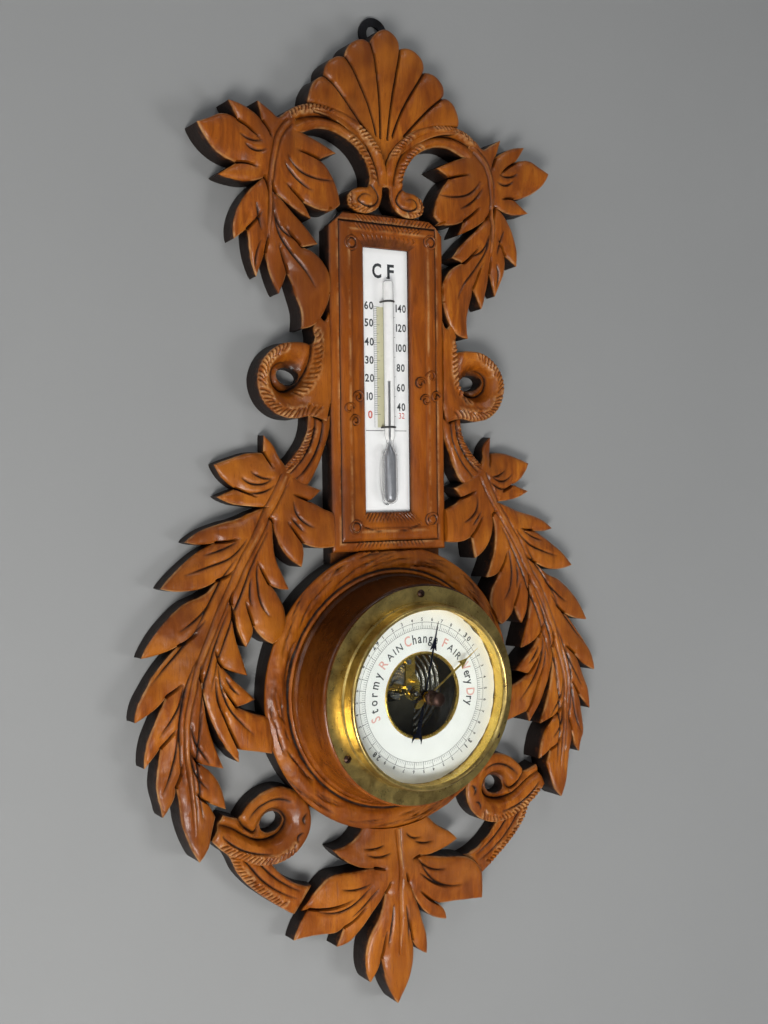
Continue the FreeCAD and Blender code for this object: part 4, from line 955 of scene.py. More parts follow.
def cut_bark(h, a, r, cuts):
    """Height of the bark at an angle and radius after all the cuts, and the painted shade in the cuts.
    """
    dark = 0.0
    for a0, r0, rise, span, deep in cuts:
        t = ((a - a0) % (2 * math.pi)) / span
        gap = r - r0 - rise * t
        if t < 1.0 and abs(gap) < 2.4:
            fade = math.sin(math.pi * t) ** 0.6 * deep
            h -= 1.3 * fade * max(0.0, 1 - abs(gap) / 0.9)
            h -= 0.5 * fade * max(0.0, 1 - abs(gap + 1.2) / 1.2)
            # painted shade in the cut
            dark = max(dark, 0.85 * fade * max(0.0, 1 - abs(gap) / 0.8))
    return h, dark


def carve_ring(work):
    """Bark-cut ring round the drum, as a lathe form with chisel marks and painted shade in its cuts,
    groove and outer wall.
    """
    cuts = bark_cuts()
    verts, stain = [], []
    for i in range(RING_STEPS):
        a = 2 * math.pi * i / RING_STEPS
        for r, h in RING_PROFILE:
            x, z = r * math.sin(a), r * math.cos(a)
            dark = 0.0
            if r > 70.5:
                h += 0.5 * noise.noise((x / 6, z / 6, 2.0)) + 0.22 * noise.noise((x / 2, z / 2, 8.0))
            if 73.0 < r < 87.4:
                h, dark = cut_bark(h, a, r, cuts)
            # painted shade in the groove inside the bark
            if 72.9 < r < 74.2:
                dark = 0.8
            if abs(x) < FRAME_X and DIAL_Z + z > FRAME_Z[0]:
                h = min(h, CORE_TOP)
            verts.append(world(x, DIAL_Z + z, h))
            stain.append(dark)
        for r, h, dark in RING_FOOT:
            verts.append(world(r * math.sin(a), DIAL_Z + r * math.cos(a), h))
            stain.append(dark)
    work.add(verts, quads(RING_STEPS, len(RING_PROFILE) + len(RING_FOOT)), stain)


# ---------------------------------------------------------------- lathe and other forms
def turned(profile, steps, x=0.0, z=DIAL_Z):
    """Points of a form turned about an axis square to the wall; profile is (radius, height)."""
    verts = []
    for i in range(steps):
        a = 2 * math.pi * i / steps
        verts += [world(x + r * math.sin(a), z + r * math.cos(a), h) for r, h in profile]
    return verts


def form(name, verts, faces, body="frame", angle=30):
    """Cleaned piece of the given vertices and faces that rides on a body."""
    mesh = bpy.data.meshes.new(name)
    mesh.from_pydata(verts, [], faces)
    tidy(mesh)
    return place_mesh(name, mesh, body, angle)


def lathe(name, profile, steps=128):
    """Closed piece turned about the dial's axis."""
    return form(name, turned(profile, steps), quads(steps, len(profile)))


def tidy(mesh):
    """Merges double points, drops empty faces and turns the rest outwards."""
    bm = bmesh.new()
    bm.from_mesh(mesh)
    bmesh.ops.remove_doubles(bm, verts=bm.verts, dist=1e-7)
    bmesh.ops.dissolve_degenerate(bm, edges=bm.edges, dist=1e-8)
    bmesh.ops.recalc_face_normals(bm, faces=bm.faces)
    bm.to_mesh(mesh)
    bm.free()


def rounded(points, radius, steps=4):
    """Rounds every corner of a closed (a, b) profile by up to the given radius."""
    out = []
    n = len(points)
    for i in range(n):
        p = np.array(points[i], float)
        a = np.array(points[i - 1], float) - p
        b = np.array(points[(i + 1) % n], float) - p
        la, lb = np.linalg.norm(a), np.linalg.norm(b)
        r = min(radius, la * 0.45, lb * 0.45)
        start, end = p + a / la * r, p + b / lb * r
        for k in range(steps + 1):
            t = k / steps
            q = (1 - t) ** 2 * start + 2 * t * (1 - t) * p + t * t * end
            out.append(tuple(q))
    return out


def h_of(y):
    """Height above the wall, in carving millimetres, of a place in the frame."""
    return (WALL - y) / UNIT


# the moulding's section from its outer edge: distance inwards, height and painted shade on its walls,
# groove and inner roll-off
MOULDING = [(0.0, 10.0, 0.9), (0.0, 14.5, 0.7), (0.6, 15.4, 0.2), (2.0, 15.9, 0.0),
            (3.8, 16.3, 0.0), (5.5, 16.6, 0.0), (6.1, 15.9, 0.8), (6.8, 16.7, 0.2),
            (8.0, 17.3, 0.0), (9.4, 17.6, 0.0), (11.0, 17.8, 0.0), (12.5, 17.9, 0.0),
            (13.6, 17.7, 0.0), (14.4, 17.2, 0.25), (15.0, 17.1, 0.1), (15.8, 17.2, 0.0),
            (16.8, 17.2, 0.0), (18.0, 16.9, 0.0), (19.5, 16.5, 0.0), (21.0, 16.0, 0.0),
            (22.4, 15.5, 0.05), (23.4, 15.0, 0.1), (24.0, 14.2, 0.3), (24.3, 13.0, 0.6),
            (24.3, 12.06, 0.9), (20.6, 12.06, 1.0), (20.6, 10.0, 1.0)]
SIDE_WIDE = 24.3                         # width of the moulding's sides
WINDOW_Z = (7.0, 168.5)                  # lower and upper edge of the window
WINDOW_HALF = 16.2                       # half the window's width
MOULDING_TOP = 18.3                      # the moulding stays below this, without its bosses
PLATE_SEAT = 12.06                       # cuts stay above the milk-glass plate
CUT_X, CUT_Z = 10.0, 9.0                 # how far the top corners are cut back


def moulding_path(x1, z0, z1):
    """Outer point and inner point of every section round the frame."""
    w, (low, high) = WINDOW_HALF, WINDOW_Z
    corners = [((-x1, z0), (-w, low)), ((-x1, z1), (-w, high)), ((x1, z1), (w, high)),
               ((x1, z0), (w, low))]
    ease = [k / 76 for k in range(70)] + [(70 + k * 0.25) / 76 for k in range(24)]
    across = ([k * 0.004 for k in range(32)] + [0.128 + k * 0.0064 for k in range(116)]
              + [0.872 + k * 0.004 for k in range(32)])
    spacing = [ease, across, [1 - t for t in reversed(ease[1:])], [k / 150 for k in range(150)]]
    stops = []
    for side, places in enumerate(spacing):
        (out_a, in_a), (out_b, in_b) = corners[side], corners[(side + 1) % 4]
        for t in places:
            outer = [a + (b - a) * t for a, b in zip(out_a, out_b)]
            inner = [a + (b - a) * t for a, b in zip(in_a, in_b)]
            stops.append((side, outer, inner))
    return stops


def cut_corner(x, z, x1, z1):
    """Move a point that lies beyond the cut corner back on to the cut."""
    beyond = (abs(x) - x1 + CUT_X) / CUT_X + (z - z1 + CUT_Z) / CUT_Z - 1
    if beyond <= 0:
        return x, z
    return x - math.copysign(CUT_X * beyond / 2, x), z - CUT_Z * beyond / 2


def moulding_cuts(side, x, z, z1):
    """How deep the hatching and lines are cut in the top and bottom rails, from 0 to 1; the same value
    paints shade in them and in the hollow under the top rail's bow.
    """
    def saw(value, pitch):
        return max(0.0, 1 - abs((value / pitch) % 1.0 - 0.5) * pitch / 0.75)
    deep = 0.0
    if side == 1:
        down = z1 - z
        if 1.2 < down < 4.6 and -22 < x < 32:
            deep = saw(x + down * 0.9, 2.7)
        if 6.2 < down < 9.8 and abs(x) < 23:
            deep = saw(x - down * 0.7, 2.7)
        deep = max(deep, max(0.0, 1 - abs(down - 5.4) / 0.7))
        # the hollow under the bow is cut down and given painted shade
        bow = 16.4 - 3.6 * (1 - (x / 21.0) ** 2) + 0.5 * noise.noise((x / 2.0, 0.0, 5.0))
        if abs(x) < 21 and down > bow:
            deep = max(deep, 0.62 * min(1.0, (down - bow) / 1.5))
        if abs(x) < 19 and 12.4 < down < 15.2:
            deep = max(deep, 0.8 * saw(x - down * 0.5, 3.3))
    elif side == 3:
        up = WINDOW_Z[0] - z
        if 0.6 < up < 5.0 and abs(x) < 17:
            deep = saw(x + up * 0.8, 2.5)
        bow = 12.5 - 4.0 * (x / 20.0) ** 2
        if abs(x) < 22:
            deep = max(deep, max(0.0, 1 - abs(up - bow) / 0.8))
        if 17.5 < up < 21.5 and abs(x) < 24:
            deep = max(deep, saw(abs(x) + up * 0.9, 2.7))
    return deep


def frame_moulding():
    """Mitred moulding round the thermometer, with cut top corners and carved bosses."""
    low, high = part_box("thermometer_frame")
    x1 = high.x / UNIT
    z0, z1 = (low.z - MID) / UNIT, (high.z - MID) / UNIT
    verts, stain, wear = [], [], []
    stops = moulding_path(x1, z0, z1)
    for side, outer, inner in stops:
        for o, h, dark in MOULDING:
            t = o / SIDE_WIDE
            x, z = outer[0] + (inner[0] - outer[0]) * t, outer[1] + (inner[1] - outer[1]) * t
            x, z = cut_corner(x, z, x1, z1)
            deep = moulding_cuts(side, x, z, z1) if 1.0 < o < 24.0 else 0.0
            extra = -0.85 * deep
            if 0.3 < o < 23.5:
                extra += 0.45 * noise.noise((x / 5, z / 18, 3.0)) + 0.16 * noise.noise((x, z / 7, 7.0))
            verts.append(world(x, z, max(min(h + extra, MOULDING_TOP), min(h, PLATE_SEAT))))
            # painted shade from the section and the cuts
            stain.append(min(1.0, dark + 0.7 * deep))
            # pale lines on the two crests: partly wear and partly painted highlight
            wear.append(0.7 if o in (5.5, 12.5) else 0.0)
    work = Carving()
    work.add(verts, quads(len(stops), len(MOULDING)), stain, wear)
    for x, z in ((30.0, 174.5), (-26.5, 169.5), (29.3, 1.6), (-25.5, -2.0)):
        add_dome(work, x, z, 17.9, 4.3, 1.0)
    for x, z, turn in ((22.0, 86.5, 1), (30.0, 91.0, -1), (33.0, 78.0, 1), (26.0, 76.0, -1),
                       (-22.5, 77.0, -1), (-29.0, 70.0, 1), (-25.0, 62.5, -1)):
        add_curl(work, x, z, 3.7, turn)
    obj = work.make("moulding")
    bpy.context.view_layer.update()
    bm = bmesh.new()
    bm.from_mesh(obj.data)
    bmesh.ops.recalc_face_normals(bm, faces=bm.faces)
    bm.to_mesh(obj.data)
    bm.free()
    return stand_in(obj, "thermometer_frame")


def add_dome(work, x, z, h, radius, tall):
    """Small turned boss with a ring cut round it."""
    steps = 20
    # rings: radius share, rise and painted shade, dark at the foot and in the ring cut
    rings = [(1.15, -0.9, 0.9), (1.05, 0.2, 0.3), (0.92, 0.55, 0.0), (0.78, 0.3, 0.4),
             (0.68, -0.3, 1.0), (0.58, 0.3, 0.4), (0.4, 0.8, 0.0), (0.12, 1.0, 0.0)]
    verts = turned([(radius * r, h + tall * up) for r, up, _ in rings], steps, x, z)
    top = tuple(i * len(rings) + len(rings) - 1 for i in range(steps))
    work.add(verts, quads(steps, len(rings), closed=False) + [top],
             [dark for _, _, dark in rings] * steps)


def add_curl(work, x, z, radius, turn):
    """Small raised spiral, carved on the moulding."""
    # section: offset, rise and painted shade, dark along the foot
    section = ((-1.5, -0.9, 1.0), (-0.9, 0.3, 0.5), (0.0, 1.0, 0.0), (0.9, 0.3, 0.5),
               (1.5, -0.9, 1.0))
    path = []
    for k in range(26):
        a = k / 25 * 2 * math.pi * 1.15
        r = radius * (1 - 0.72 * k / 25)
        path.append((x + turn * r * math.cos(a), z + r * math.sin(a)))
    verts, stain = [], []
    for k, (px, pz) in enumerate(path):
        a = path[max(k - 1, 0)]
        b = path[min(k + 1, len(path) - 1)]
        dx, dz = b[0] - a[0], b[1] - a[1]
        size = math.hypot(dx, dz)
        nx, nz = -dz / size, dx / size
        grow = 0.75 * (0.45 + 0.55 * math.sin(math.pi * (0.12 + 0.8 * k / 25)))
        for off, up, dark in section:
            verts.append(world(px + nx * off * grow, pz + nz * off * grow, 17.6 + up * 0.9))
            stain.append(dark)
    work.add(verts, quads(len(path), len(section), closed=False, ring=False), stain)


# ---------------------------------------------------------------- materials
class Nodes:
    """Short way to build a node material."""

    def __init__(self, name):
        self.material = bpy.data.materials.new(name)
        self.material.use_nodes = True
        self.tree = self.material.node_tree
        self.tree.nodes.clear()
        self.out = self.tree.nodes.new("ShaderNodeOutputMaterial")
        self.shader = self.add("BsdfPrincipled")
        self.link(self.shader.outputs[0], self.out.inputs["Surface"])
        self.place = self.add("TexCoord").outputs["Object"]

    def add(self, kind, **values):
        """A new node, with its settings."""
        node = self.tree.nodes.new("ShaderNode" + kind)
        for key, value in values.items():
            setattr(node, key, value)
        return node

    def link(self, a, b):
        self.tree.links.new(a, b)

    def feed(self, socket, value):
        """Link an output to a socket, or give the socket a value of its own."""
        if hasattr(value, "links"):
            self.link(value, socket)
        else:
            socket.default_value = value

    def put(self, node, **values):
        """Feed a node's sockets by name and return the node."""
        for key, value in values.items():
            self.feed(node.inputs[key.replace("_", " ")], value)
        return node

    def stretch(self, x, y, z):
        """Places for a texture that is drawn out where the scale is small."""
        node = self.add("Mapping")
        self.link(self.place, node.inputs["Vector"])
        node.inputs["Scale"].default_value = (x, y, z)
        return node.outputs[0]

    def noise(self, scale, detail=4.0, rough=0.55, where=None, bend=0.0):
        node = self.put(self.add("TexNoise"), Scale=scale, Detail=detail, Roughness=rough,
                        Distortion=bend)
        self.link(where or self.place, node.inputs["Vector"])
        return node.outputs["Fac"]

    def ramp(self, value, stops):
        """Greys or colours looked up by value."""
        node = self.add("ValToRGB")
        self.link(value, node.inputs[0])
        ramp = node.color_ramp
        ramp.elements[0].position, ramp.elements[0].color = stops[0][0], tint(stops[0][1])
        ramp.elements[1].position, ramp.elements[1].color = stops[-1][0], tint(stops[-1][1])
        for position, colour in stops[1:-1]:
            ramp.elements.new(position).color = tint(colour)
        return node.outputs[0]

    def mix(self, share, a, b):
        """Colour between a and b."""
        node = self.add("Mix", data_type="RGBA")
        self.feed(node.inputs[0], share)
        for socket, value in ((node.inputs[6], a), (node.inputs[7], b)):
            self.feed(socket, value if hasattr(value, "links") else tint(value))
        return node.outputs[2]

    def blend(self, share, first, second):
        """Mix of two shaders: the first at 0 and the second at 1."""
        node = self.add("MixShader")
        for socket, output in zip(node.inputs, (share, first, second)):
            self.link(output, socket)
        return node.outputs[0]

    def height(self):
        """Height of the point in the frame, in metres."""
        node = self.add("SeparateXYZ")
        self.link(self.place, node.inputs[0])
        return node.outputs["Z"]

    def base(self, colour, rough):
        """Set the shader's colour and its roughness."""
        self.put(self.shader, Base_Color=colour, Roughness=rough)

    def maths(self, kind, a, b):
        """Result of one operation on two values, kept between 0 and 1."""
        node = self.add("Math", operation=kind, use_clamp=True)
        for socket, value in zip(node.inputs, (a, b)):
            self.feed(socket, value)
        return node.outputs[0]

    def bump(self, value, strength, distance, below=None):
        """Fine relief on the shader, on top of an earlier one if there is one."""
        node = self.put(self.add("Bump"), Strength=strength, Distance=distance)
        self.link(value, node.inputs["Height"])
        if below:
            self.link(below, node.inputs["Normal"])
        self.link(node.outputs[0], self.shader.inputs["Normal"])
        return node.outputs[0]

    def attribute(self, name):
        return self.add("Attribute", attribute_name=name).outputs["Fac"]


def tint(value):
    """A grey number or an (r, g, b) colour as four channels."""
    if isinstance(value, (int, float)):
        return (value, value, value, 1.0)
    return tuple(value) + (1.0,)


def wood_material(name, light, middle, dark, deep, rough=0.36, painted_shade_heights=None):
    """Varnished carved wood: long grain and pores, painted shade in the cuts, hollows and side walls,
    and pale edges that are partly wear and partly painted highlight.

    Between the two heights given as painted_shade_heights it grows darker towards the second, as
    painted shade.
    """
    m = Nodes(name)
    along = m.stretch(1.0, 1.0, 0.16)
    grain = m.noise(150.0, 7.0, 0.62, along, 0.6)
    broad = m.noise(22.0, 3.0, 0.5)
    base = m.ramp(grain, [(0.30, dark), (0.47, middle), (0.68, light)])
    base = m.mix(m.ramp(broad, [(0.35, 0.0), (0.7, 0.6)]), base, middle)
    patches = m.noise(11.0, 3.0, 0.55)
    base = m.mix(m.ramp(patches, [(0.40, 0.0), (0.66, 0.8)]), base, dark)
    glow = m.noise(14.0, 3.0, 0.6, bend=0.8)
    base = m.mix(m.ramp(glow, [(0.50, 0.0), (0.72, 0.75)]), base, light)
    pores = m.noise(1500.0, 2.0, 0.7, m.stretch(1.0, 1.0, 0.045))
    pore_mask = m.ramp(pores, [(0.58, 0.0), (0.70, 1.0)])
    base = m.mix(m.maths("MULTIPLY", pore_mask, 0.5), base, dark)
    # pale honey where the wear value is set: worn edges, partly painted highlight
    rubbed = m.ramp(m.noise(75.0, 5.0, 0.7), [(0.42, 0.0), (0.66, 0.75)])
    base = m.mix(m.maths("MULTIPLY", m.attribute("wear"), rubbed), base, (0.62, 0.36, 0.15))
    # painted shade in the cuts, hollows and side walls, mottled
    stain = m.attribute("stain")
    shade_mottle = m.noise(260.0, 5.0, 0.7)
    cut_shade = m.maths("MULTIPLY", stain, m.ramp(shade_mottle, [(0.2, 0.70), (0.7, 1.25)]))
    base = m.mix(m.ramp(cut_shade, [(0.04, 0.0), (0.80, 1.0)]), base, deep)
    # painted shade growing towards the second height
    if painted_shade_heights:
        spread = m.put(m.add("MapRange"), Value=m.height(), From_Min=painted_shade_heights[0], From_Max=painted_shade_heights[1])
        base = m.mix(m.maths("MULTIPLY", spread.outputs[0], 0.85), base, deep)
    worn = m.noise(60.0, 5.0, 0.65)
    shine = m.ramp(worn, [(0.3, rough - 0.06), (0.72, rough + 0.18)])
    m.base(base, m.mix(stain, shine, 0.7))
    m.put(m.shader, Coat_Weight=0.15, Coat_Roughness=0.15, Specular_IOR_Level=0.28)
    soft = m.noise(420.0, 6.0, 0.6, along)
    low = m.bump(m.noise(120.0, 3.0, 0.5), 0.40, 0.0014)
    below = m.bump(soft, 0.32, 0.0006, low)
    m.bump(pore_mask, 0.25, -0.0002, below)
    return m.material


def metal_material(name, bright, tarnish, spots, rough, scratch=0.3, metal=1.0):
    """Aged metal: tarnish clouds, dark specks and fine turning scratches."""
    m = Nodes(name)
    cloud = m.noise(70.0, 6.0, 0.65, bend=0.4)
    base = m.mix(m.ramp(cloud, [(0.36, 0.0), (0.66, 1.0)]), bright, tarnish)
    speck = m.noise(520.0, 4.0, 0.7)
    base = m.mix(m.ramp(speck, [(0.62, 0.0), (0.72, 0.8)]), base, spots)
    wear = m.noise(160.0, 6.0, 0.7)
    m.base(base, m.ramp(wear, [(0.3, rough * 0.75), (0.72, min(1.0, rough * 1.5))]))
    m.put(m.shader, Metallic=metal)
    lines = m.noise(900.0, 3.0, 0.6, m.stretch(1.0, 3.0, 0.25))
    below = m.bump(lines, scratch, 0.0002)
    m.bump(speck, 0.15, 0.0002, below)
    return m.material


def plain_material(name, colour, second, rough, bump, scale, coat=0.0):
    """Even surface with slight mottling."""
    m = Nodes(name)
    cloud = m.noise(scale * 0.2, 4.0, 0.6)
    fine = m.noise(scale, 4.0, 0.6)
    m.base(m.mix(m.ramp(cloud, [(0.35, 0.0), (0.7, 1.0)]), colour, second),
           m.ramp(fine, [(0.3, rough * 0.85), (0.7, min(1.0, rough * 1.25))]))
    m.put(m.shader, Coat_Weight=coat)
    m.bump(fine, bump, 0.0002)
    return m.material


def glass_material(name, colour):
    """Thin clear glass: mostly open, with a sharp reflection that grows at the rim."""
    m = Nodes(name)
    smear = m.noise(90.0, 5.0, 0.7)
    gloss = m.add("BsdfGlossy")
    m.link(m.ramp(smear, [(0.4, 0.02), (0.8, 0.12)]), gloss.inputs["Roughness"])
    clear = m.put(m.add("BsdfTransparent"), Color=tint(colour))
    fresnel = m.put(m.add("Fresnel"), IOR=1.45)
    strength = m.maths("MULTIPLY", fresnel.outputs[0], 0.55)
    seen = m.maths("SUBTRACT", 1.0, m.add("LightPath").outputs["Is Shadow Ray"])
    m.link(m.blend(m.maths("MULTIPLY", strength, seen), clear.outputs[0], gloss.outputs[0]),
           m.out.inputs["Surface"])
    m.tree.nodes.remove(m.shader)
    return m.material


MERCURY_TOP = 87.3                       # top of the mercury column
STEM_FOOT = 51.0                         # where the bulb's neck meets the stem


def tube_glass_material(name):
    """Thick tube of clear glass, with light and shade painted in its colour: pale white in the middle
    and a painted shade from grey to near-black towards its edges.
    """
    m = Nodes(name)
    facing = m.add("LayerWeight").outputs["Facing"]
    cloud = m.noise(240.0, 3.0, 0.6)
    # painted shade by facing angle: white towards the viewer, grey to near-black at the rim
    edge = m.ramp(facing, [(0.42, (0.97, 0.97, 0.95)), (0.66, (0.60, 0.62, 0.62)),
                           (0.84, (0.20, 0.21, 0.22)), (0.96, (0.06, 0.07, 0.08))])
    m.base(m.mix(m.ramp(cloud, [(0.4, 0.0), (0.8, 0.25)]), edge, (0.60, 0.62, 0.62)), 0.08)
    clear, grey = m.add("BsdfTransparent").outputs[0], m.shader.outputs[0]
    height = m.height()
    bore = m.ramp(facing, [(0.0, 0.04), (0.022, 0.12), (0.045, 0.82), (0.92, 0.96)])
    empty = m.maths("GREATER_THAN", height, world(0, MERCURY_TOP, 0)[2])
    stem = m.blend(m.maths("MAXIMUM", bore, m.maths("MULTIPLY", empty, 0.88)), clear, grey)
    # on the bulb the same colour gives a painted highlight along its sides and a painted dark outline
    # at its rim
    thin = m.ramp(facing, [(0.30, 0.03), (0.46, 0.50), (0.62, 0.45), (0.92, 0.95)])
    bulb = m.blend(thin, clear, grey)
    above = m.maths("GREATER_THAN", height, world(0, STEM_FOOT, 0)[2])
    m.link(m.blend(above, bulb, stem), m.out.inputs["Surface"])
    return m.material


def dress(obj, material):
    """Gives a piece its one material."""
    obj.data.materials.clear()
    obj.data.materials.append(material)
    return obj


# ---------------------------------------------------------------- instrument and thermometer
def reach(node):
    """Radius, lowest and highest height of a round node, in carving millimetres."""
    low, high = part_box(node)
    return (high.x - low.x) / 2 / UNIT, h_of(high.y), h_of(low.y)


def stand_in(obj, node):
    """Puts a piece in the place of a CAD node."""
    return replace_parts(obj, node)


def spin_up(name, profile, steps):
    """Form turned about the tube's upright axis; profile is (radius, z)."""
    verts = []
    for i in range(steps):
        a = 2 * math.pi * i / steps
        verts += [world(r * math.sin(a), z, TUBE_H + r * math.cos(a)) for r, z in profile]
    return form(name, verts, quads(steps, len(profile), closed=False))


def sweep(path, radius, sides=10):
    """Round wire along points; returns vertices and faces."""
    verts = []
    path = [Vector(p) for p in path]
    for i, p in enumerate(path):
        ahead = (path[min(i + 1, len(path) - 1)] - path[max(i - 1, 0)]).normalized()
        side = ahead.orthogonal().normalized() if i == 0 else (side - ahead * side.dot(ahead))
        side.normalize()
        up = ahead.cross(side)
        for k in range(sides):
            a = 2 * math.pi * k / sides
            verts.append(tuple(p + (side * math.cos(a) + up * math.sin(a)) * radius))
    ends = [tuple(reversed(range(sides))), tuple(range(len(verts) - sides, len(verts)))]
    return verts, quads(len(path), sides, ring=False) + ends


def make_drum():
    """Turned wooden drum that carries the instrument."""
    r, low, high = reach("drum_ring")
    bore = reach("movement_case")[0] - 7.5   # hole for the case's cup, narrower than its flange
    profile = [(bore, low), (r - 0.3, low), (r, low + 1.9), (r - 0.8, low + 3.4), (r - 2.1, low + 4.5),
               (r - 2.7, low + 7.5), (r - 3.7, low + 13.5), (r - 4.4, low + 21.5),
               (r - 4.6, low + 27.5), (r - 4.9, low + 30.1), (r - 5.7, high - 0.4),
               (r - 6.7, high), (bore, high)]
    drum = lathe("drum", rounded(profile, 0.9), 180)
    return stand_in(drum, "drum_ring")


def make_bezel():
    """Rounded brass bezel round the glass."""
    r, low, high = reach("bezel")
    profile = [(r - 2.6, low), (r - 0.2, low), (r, low + 0.7), (r - 0.6, low + 1.6),
               (r - 1.1, low + 2.2), (r - 1.2, low + 3.8), (r - 1.3, high - 2.5),
               (r - 1.5, high - 1.1), (r - 2.1, high - 0.3), (r - 2.7, high), (r - 3.4, high - 0.3),
               (r - 4.4, high - 1.6), (r - 4.4, high - 2.1), (r - 2.6, high - 2.1)]
    bezel = lathe("bezel_ring", rounded(profile, 0.5), 200)
    return stand_in(bezel, "bezel")


def make_reflector():
    """Bright sloping ring between the card and the glass."""
    r, low, high = reach("reflector_ring")
    profile = [(r - 0.9, low), (r - 0.1, low), (r, high), (r - 0.4, high), (r - 0.6, high - 2.0),
               (r - 0.8, low + 2.3), (r - 0.9, low + 1.2)]
    ring = lathe("reflector", profile, 160)
    return stand_in(ring, "reflector_ring")


def make_glass():
    """Flat dial glass with a hole for the knob's stem."""
    r, low, high = reach("dial_glass")
    bore = 1.6                               # hole for the knob's stem
    profile = rounded([(bore, low), (r, low), (r, high), (bore, high)], 0.25, 2)
    pane = lathe("dial_pane", profile)
    return stand_in(pane, "dial_glass")


def make_dial():
    """Brass dial plate with the lip of its hole, and the white card on it."""
    r, low, high = reach("dial_plate")
    hole = 24.4                              # the movement shows through this
    profile = [(hole, low), (r, low), (r, low + 0.8), (hole + 1.7, low + 0.8),
               (hole + 1.55, low + 1.25), (hole + 1.2, high - 0.05), (hole + 0.8, high),
               (hole + 0.35, high - 0.1), (hole, high - 0.6)]
    plate = lathe("dial_backing", profile, 160)
    stand_in(plate, "dial_plate")
    r, low, high = reach("dial_card")
    inner = hole + 1.8
    profile = [(inner, low), (r, low), (r, high - 0.05), (r - 0.08, high), (inner + 0.08, high),
               (inner, high - 0.05)]
    card = lathe("dial_face", profile, 160)
    stand_in(card, "dial_card")
    return plate, card


def make_knob():
    """Setting knob with its stem, a milled collar and a fluted grip."""
    r, low, high = reach("set_knob")
    grip = r - 0.45
    profile = [(0, low), (1.2, low), (1.2, low + 1.0), (1.55, low + 1.05), (1.55, low + 4.75),
               (r, low + 4.75), (r, low + 5.2), (r - 0.4, low + 6.0), (r - 1.6, low + 6.5),
               (r - 1.9, low + 7.2), (grip - 0.5, low + 7.8), (grip - 0.05, low + 8.7),
               (grip, low + 9.4), (grip, high - 2.9), (grip - 0.25, high - 1.6),
               (grip - 1.2, high - 0.55), (grip - 2.6, high - 0.1), (0, high)]
    steps = 192
    verts = []
    for i in range(steps):
        a = 2 * math.pi * i / steps
        flute = 0.5 - 0.5 * math.cos(24 * a)
        for rad, h in profile:
            cut = 0.32 if grip - 0.06 < rad < grip + 0.06 else 0.0
            if abs(h - low - 5.0) < 0.3 and rad > r - 0.1:
                cut = 0.18
            rr = rad - cut * flute ** 2
            verts.append(world(rr * math.sin(a), DIAL_Z + rr * math.cos(a), h))
    knob = form("knob", verts, quads(steps, len(profile), closed=False), "setter", 32)
    return stand_in(knob, "set_knob")


TUBE_LOW, TUBE_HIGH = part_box("thermometer_tube")
TUBE_H = h_of((TUBE_LOW.y + TUBE_HIGH.y) / 2)
TUBE_R = 3.25                            # radius of the stem
CLIP_R = 3.4                             # radius of the wire clips over the stem
BULB_R = TUBE_HIGH.x / UNIT
BORE_R = 0.55                            # radius of the mercury column
PANE_LOW, PANE_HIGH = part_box("thermometer_plate")
PANE_H = h_of(PANE_LOW.y)
PANE_THICK = 2.0
TROUGH = 1.7                             # depth of the trough below the bulb


def tube_profile(radius, bulb, grow):
    """Bulb with domed ends, a narrow neck and the lower end of the stem."""
    return [(0.01, 11.6 + grow), (bulb * 0.4, 11.9 + grow), (bulb * 0.74, 12.9 + grow),
            (bulb * 0.94, 14.4 + grow), (bulb, 16.2 + grow), (bulb, 40.5 - grow * 0.4),
            (bulb * 0.93, 42.4 - grow * 0.4), (bulb * 0.68, 44.6 - grow * 0.4),
            (bulb * 0.45, 46.6 - grow * 0.4), (radius * 0.66, 48.6), (radius * 0.72, 50.6),
            (radius, 53.5)]


def make_thermometer():
    """Glass tube, its mercury and the two wire clips that hold it."""
    bulb = BULB_R * 0.80
    shell = tube_profile(TUBE_R, bulb, 0.0)
    shell += [(TUBE_R, 147.0), (TUBE_R * 0.9, 148.1), (TUBE_R * 0.6, 148.8), (0.01, 149.0)]
    tube = spin_up("tube", shell, 48)
    stand_in(tube, "thermometer_tube")
    fill = tube_profile(BORE_R, bulb - 0.7, 0.8) + [(BORE_R, MERCURY_TOP - 0.3), (0.01, MERCURY_TOP)]
    column = spin_up("mercury_column", fill, 32)
    stand_in(column, "mercury")
    verts, faces = [], []
    for z in (136.0, 59.0):
        path = [(-CLIP_R, z, PANE_H)]
        for k in range(19):
            a = math.pi * k / 18
            path.append((-CLIP_R * math.cos(a), z, TUBE_H + CLIP_R * math.sin(a)))
        path.append((CLIP_R, z, PANE_H))
        v, f = sweep([world(*p) for p in path], 0.62 * UNIT)
        faces += [tuple(i + len(verts) for i in face) for face in f]
        verts += v
    clips = form("clips", verts, faces, angle=60)
    stand_in(clips, "tube_clips")
    return tube, column, clips


